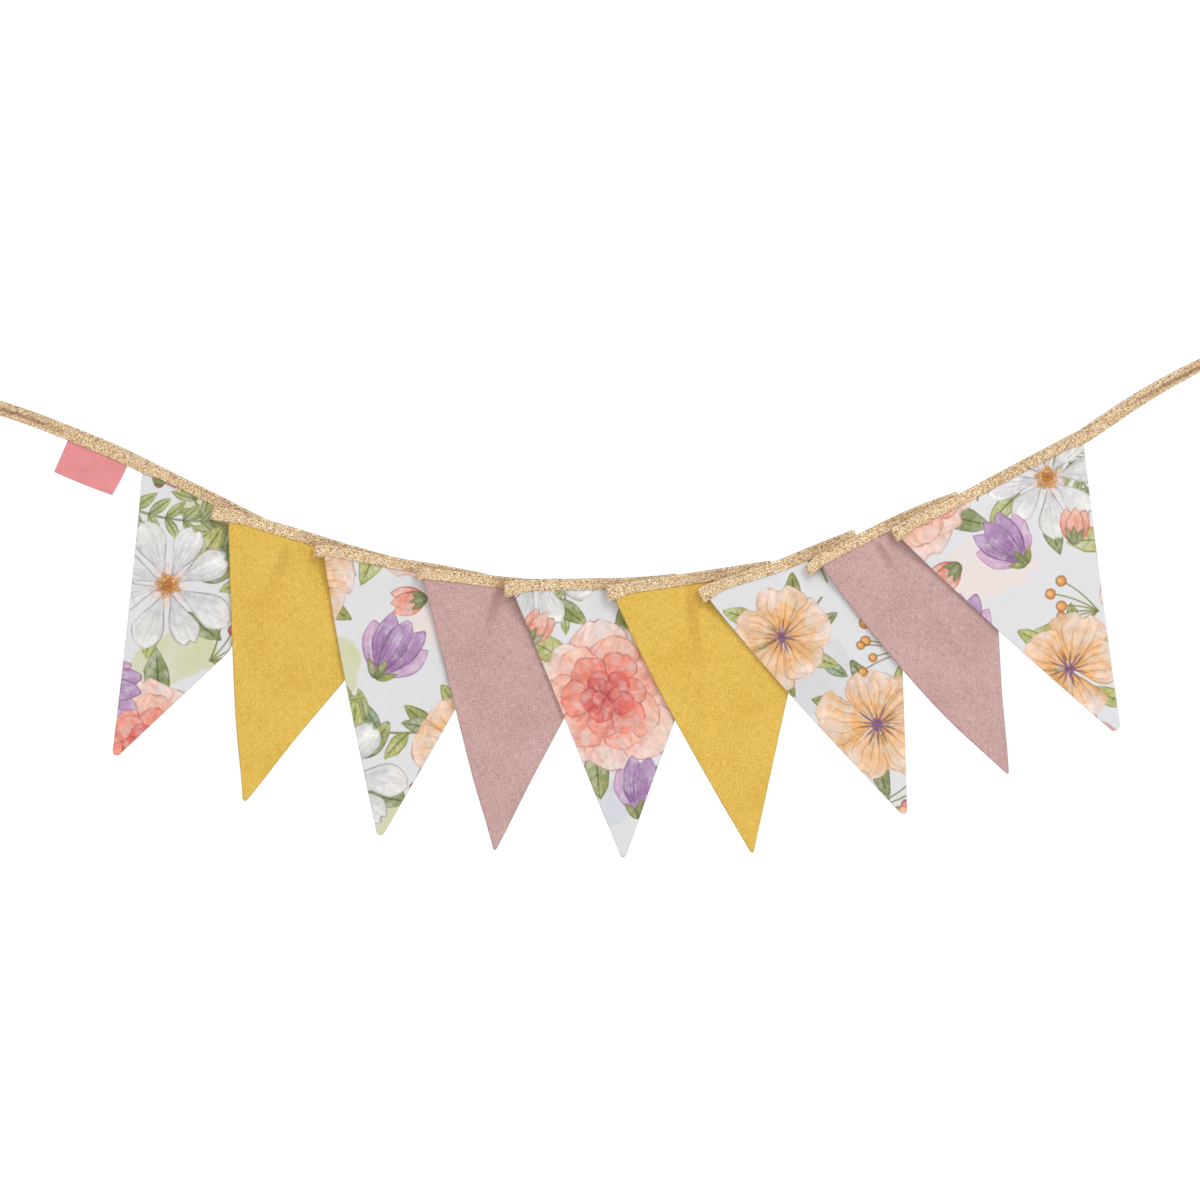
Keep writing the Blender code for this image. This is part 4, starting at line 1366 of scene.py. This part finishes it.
def cotton(name):
    """Printed cotton: the painted colours under a fine, even weave."""
    material, tree, shader = new_material(name, 0.8, Sheen_Weight=0.12, Sheen_Roughness=0.5,
                                          Specular_IOR_Level=0.3)
    warp, weft = thread_noise(tree, *COTTON_THREAD)
    cloud = flat_noise(tree, COTTON_CLOUD)
    threads = weighted(tree, (warp, 0.05), (weft, 0.05))
    tone = maths(tree, "ADD", weighted(tree, (cloud, 0.03), start=threads), 0.93)
    mixed = new_node(tree, "VectorMath", [(0, attribute(tree, "print", "Color"))], operation="SCALE")
    tree.links.new(tone, mixed.inputs["Scale"])
    relief = weighted(tree, (weave_height(tree, COTTON_PITCH), 0.4), start=threads)
    rough = weighted(tree, (cloud, 0.12), start=0.74)
    finish(tree, shader, mixed.outputs["Vector"], relief, distance=0.07, strength=0.6, rough=rough)
    return material


def grains_of(tree, size, channel):
    """Small flat grains, each with a value of its own."""
    cells = new_node(tree, "TexVoronoi", [("Vector", flat_place(tree, size))], voronoi_dimensions="2D",
                     Scale=1.0, Randomness=1.0)
    return new_node(tree, "SeparateColor", [("Color", cells.outputs["Color"])]).outputs[channel]


def stripe(tree, value, middle, reach):
    """One in the middle of a stripe of the value, fading to nothing at its reach."""
    off = maths(tree, "ABSOLUTE", maths(tree, "SUBTRACT", value, middle))
    fade = new_node(tree, "MapRange", [("Value", off)], interpolation_type="SMOOTHSTEP",
                    From_Min=0.0, From_Max=reach, To_Min=1.0, To_Max=0.0)
    return fade.outputs["Result"]


def glitter(name):
    """Tape covered with small gold grains, the palest of them painted glints, with painted shade in its
    back layer, along the middle of its bare ends, in a line below its crown and on its crown.
    """
    material, tree, shader = new_material(name, 0.42, Metallic=0.35, Specular_IOR_Level=0.6)
    big, small = grains_of(tree, BIG_GRAIN, "Red"), grains_of(tree, SMALL_GRAIN, "Green")
    grains = weighted(tree, (big, 0.62), (small, 0.3))
    tone = weighted(tree, (flat_noise(tree, GLITTER_PATCH), 0.10), start=grains, clamp=True)
    # painted shade: the tape's crown is darkened as far as its surface faces up
    facing = new_node(tree, "SeparateXYZ", [("Vector", new_node(tree, "NewGeometry").outputs["Normal"])])
    crown = new_node(tree, "MapRange", [("Value", facing.outputs["Z"])], From_Min=0.35, From_Max=0.95)
    round_it = new_node(tree, "SeparateXYZ", [("Vector", flat_place(tree, (1.0, 1.0)))]).outputs["Y"]
    from_top = maths(tree, "ABSOLUTE", round_it)
    # painted shade: a stripe along the middle of the bare tape ends
    hollow_shade = maths(tree, "MULTIPLY", stripe(tree, from_top, *HOLLOW_SHADE), attribute(tree, "groove"))
    # painted shade: the back layer, the hollow stripe, the crown and the line below it, summed
    painted_shade = weighted(tree, (crown.outputs["Result"], 0.5), (attribute(tree, "back_layer_shade"), 0.5), (hollow_shade, 1.0),
                    (stripe(tree, from_top, *CREST_SHADE), 0.4))
    colour = shaded(tree, ramp(tree, tone, GOLD_AND_GLINTS), painted_shade, TAPE_SHADE)
    rough = weighted(tree, (small, 0.4), start=0.25)
    finish(tree, shader, colour, grains, distance=0.25, strength=0.9, rough=rough)
    return material


def thread(name):
    """Gold sewing thread, twisted."""
    material, tree, shader = new_material(name, 0.5, Metallic=0.2)
    twist = object_noise(tree, scale=2600.0, detail=1.0)
    finish(tree, shader, ramp(tree, twist, THREAD_GOLD), twist, distance=0.05)
    return material


def ribbon(name):
    """Dense satin ribbon with fine ribs across it."""
    material, tree, shader = new_material(name, 0.6, Sheen_Weight=0.2, Specular_IOR_Level=0.4)
    ribs, warp = flat_noise(tree, RIBBON_RIB), flat_noise(tree, RIBBON_WARP)
    threads = weighted(tree, (ribs, 0.4), (warp, 0.3))
    tone = weighted(tree, (flat_noise(tree, RIBBON_CLOUD), 0.3), start=threads)
    finish(tree, shader, ramp(tree, tone, RIBBON_PINK), threads, distance=0.08, strength=0.7)
    return material


def plain(name):
    """A pale, matt floor."""
    material, tree, shader = new_material(name, 0.9)
    cloud = object_noise(tree, scale=3.0, detail=3.0)
    tree.links.new(ramp(tree, cloud, FLOOR_PALE), shader.inputs["Base Color"])
    return material


# The stage

def add_object(name, data, place_at, turned=(0.0, 0.0, 0.0)):
    """Puts something new into the scene."""
    item = bpy.data.objects.new(name, data)
    item.location = place_at
    item.rotation_euler = turned
    bpy.context.scene.collection.objects.link(item)
    return item


def build_floor():
    half = FLOOR_SIZE / 2 * MM
    mesh = bpy.data.meshes.new("floor")
    corners = [(-half, -half, 0), (half, -half, 0), (half, half, 0), (-half, half, 0)]
    mesh.from_pydata(corners, [], [(0, 1, 2, 3)])
    mesh.materials.append(plain("floor"))
    add_object("floor", mesh, (0.0, 0.0, -FLOOR_DEPTH * MM))


def add_light(name, place_at, size, power):
    """A soft square light that faces the garland."""
    light = bpy.data.lights.new(name, "AREA")
    light.size = size
    light.energy = power
    aim = np.array((0.0, 0.0, VIEW_HEIGHT * MM)) - np.array(place_at)
    yaw, pitch = math.atan2(aim[0], aim[1]), math.atan2(math.hypot(aim[0], aim[1]), -aim[2])
    add_object(name, light, place_at, (pitch, 0.0, -yaw))


def build_world(scene):
    """An even pale studio whose far wall, behind the garland, is lit white."""
    world = bpy.data.worlds.new("studio")
    world.use_nodes = True
    tree = world.node_tree
    coordinates = new_node(tree, "TexCoord")
    parts = new_node(tree, "SeparateXYZ", [("Vector", coordinates.outputs["Generated"])])
    wall = new_node(tree, "MapRange", [("Value", parts.outputs["Y"])], interpolation_type="SMOOTHSTEP",
                    From_Min=WALL_START, From_Max=WALL_FULL, To_Min=STUDIO_LIGHT, To_Max=WALL_LIGHT)
    background = tree.nodes["Background"]
    background.inputs["Color"].default_value = (1.0, 1.0, 1.0, 1.0)
    tree.links.new(wall.outputs["Result"], background.inputs["Strength"])
    scene.world = world


def build_stage():
    scene = bpy.context.scene
    scene.view_settings.view_transform = "Standard"
    build_world(scene)
    add_light("key", (1.1, -1.7, 1.5), size=0.9, power=19.0)
    add_light("fill", (-1.6, -2.2, 0.3), size=1.4, power=6.6)
    build_floor()
    camera = bpy.data.cameras.new("camera")
    camera.sensor_width = SENSOR_WIDTH
    camera.lens = SENSOR_WIDTH * CAMERA_DISTANCE / VIEW_WIDTH
    stands = (0.0, -CAMERA_DISTANCE * MM, VIEW_HEIGHT * MM)
    scene.camera = add_object("camera", camera, stands, (math.radians(90.0), 0.0, 0.0))


def build_garland():
    stations = tape_stations()
    tape, run = build_tape(stations, glitter("glitter_tape"))
    sewing = thread("gold_thread")
    rows = [build_stitches("stitches_front", stations, 1, sewing),
            build_stitches("stitches_back", stations, -1, sewing)]
    cloths = {
        "floral": cotton("printed_cotton"),
        "ochre": linen("ochre_linen", OCHRE),
        "mauve": linen("mauve_linen", MAUVE),
    }
    for number, flag in enumerate(FLAGS, start=1):
        build_flag(number, cloths[flag.cloth])
    build_label(ribbon("pink_ribbon"))


build_garland()
build_stage()
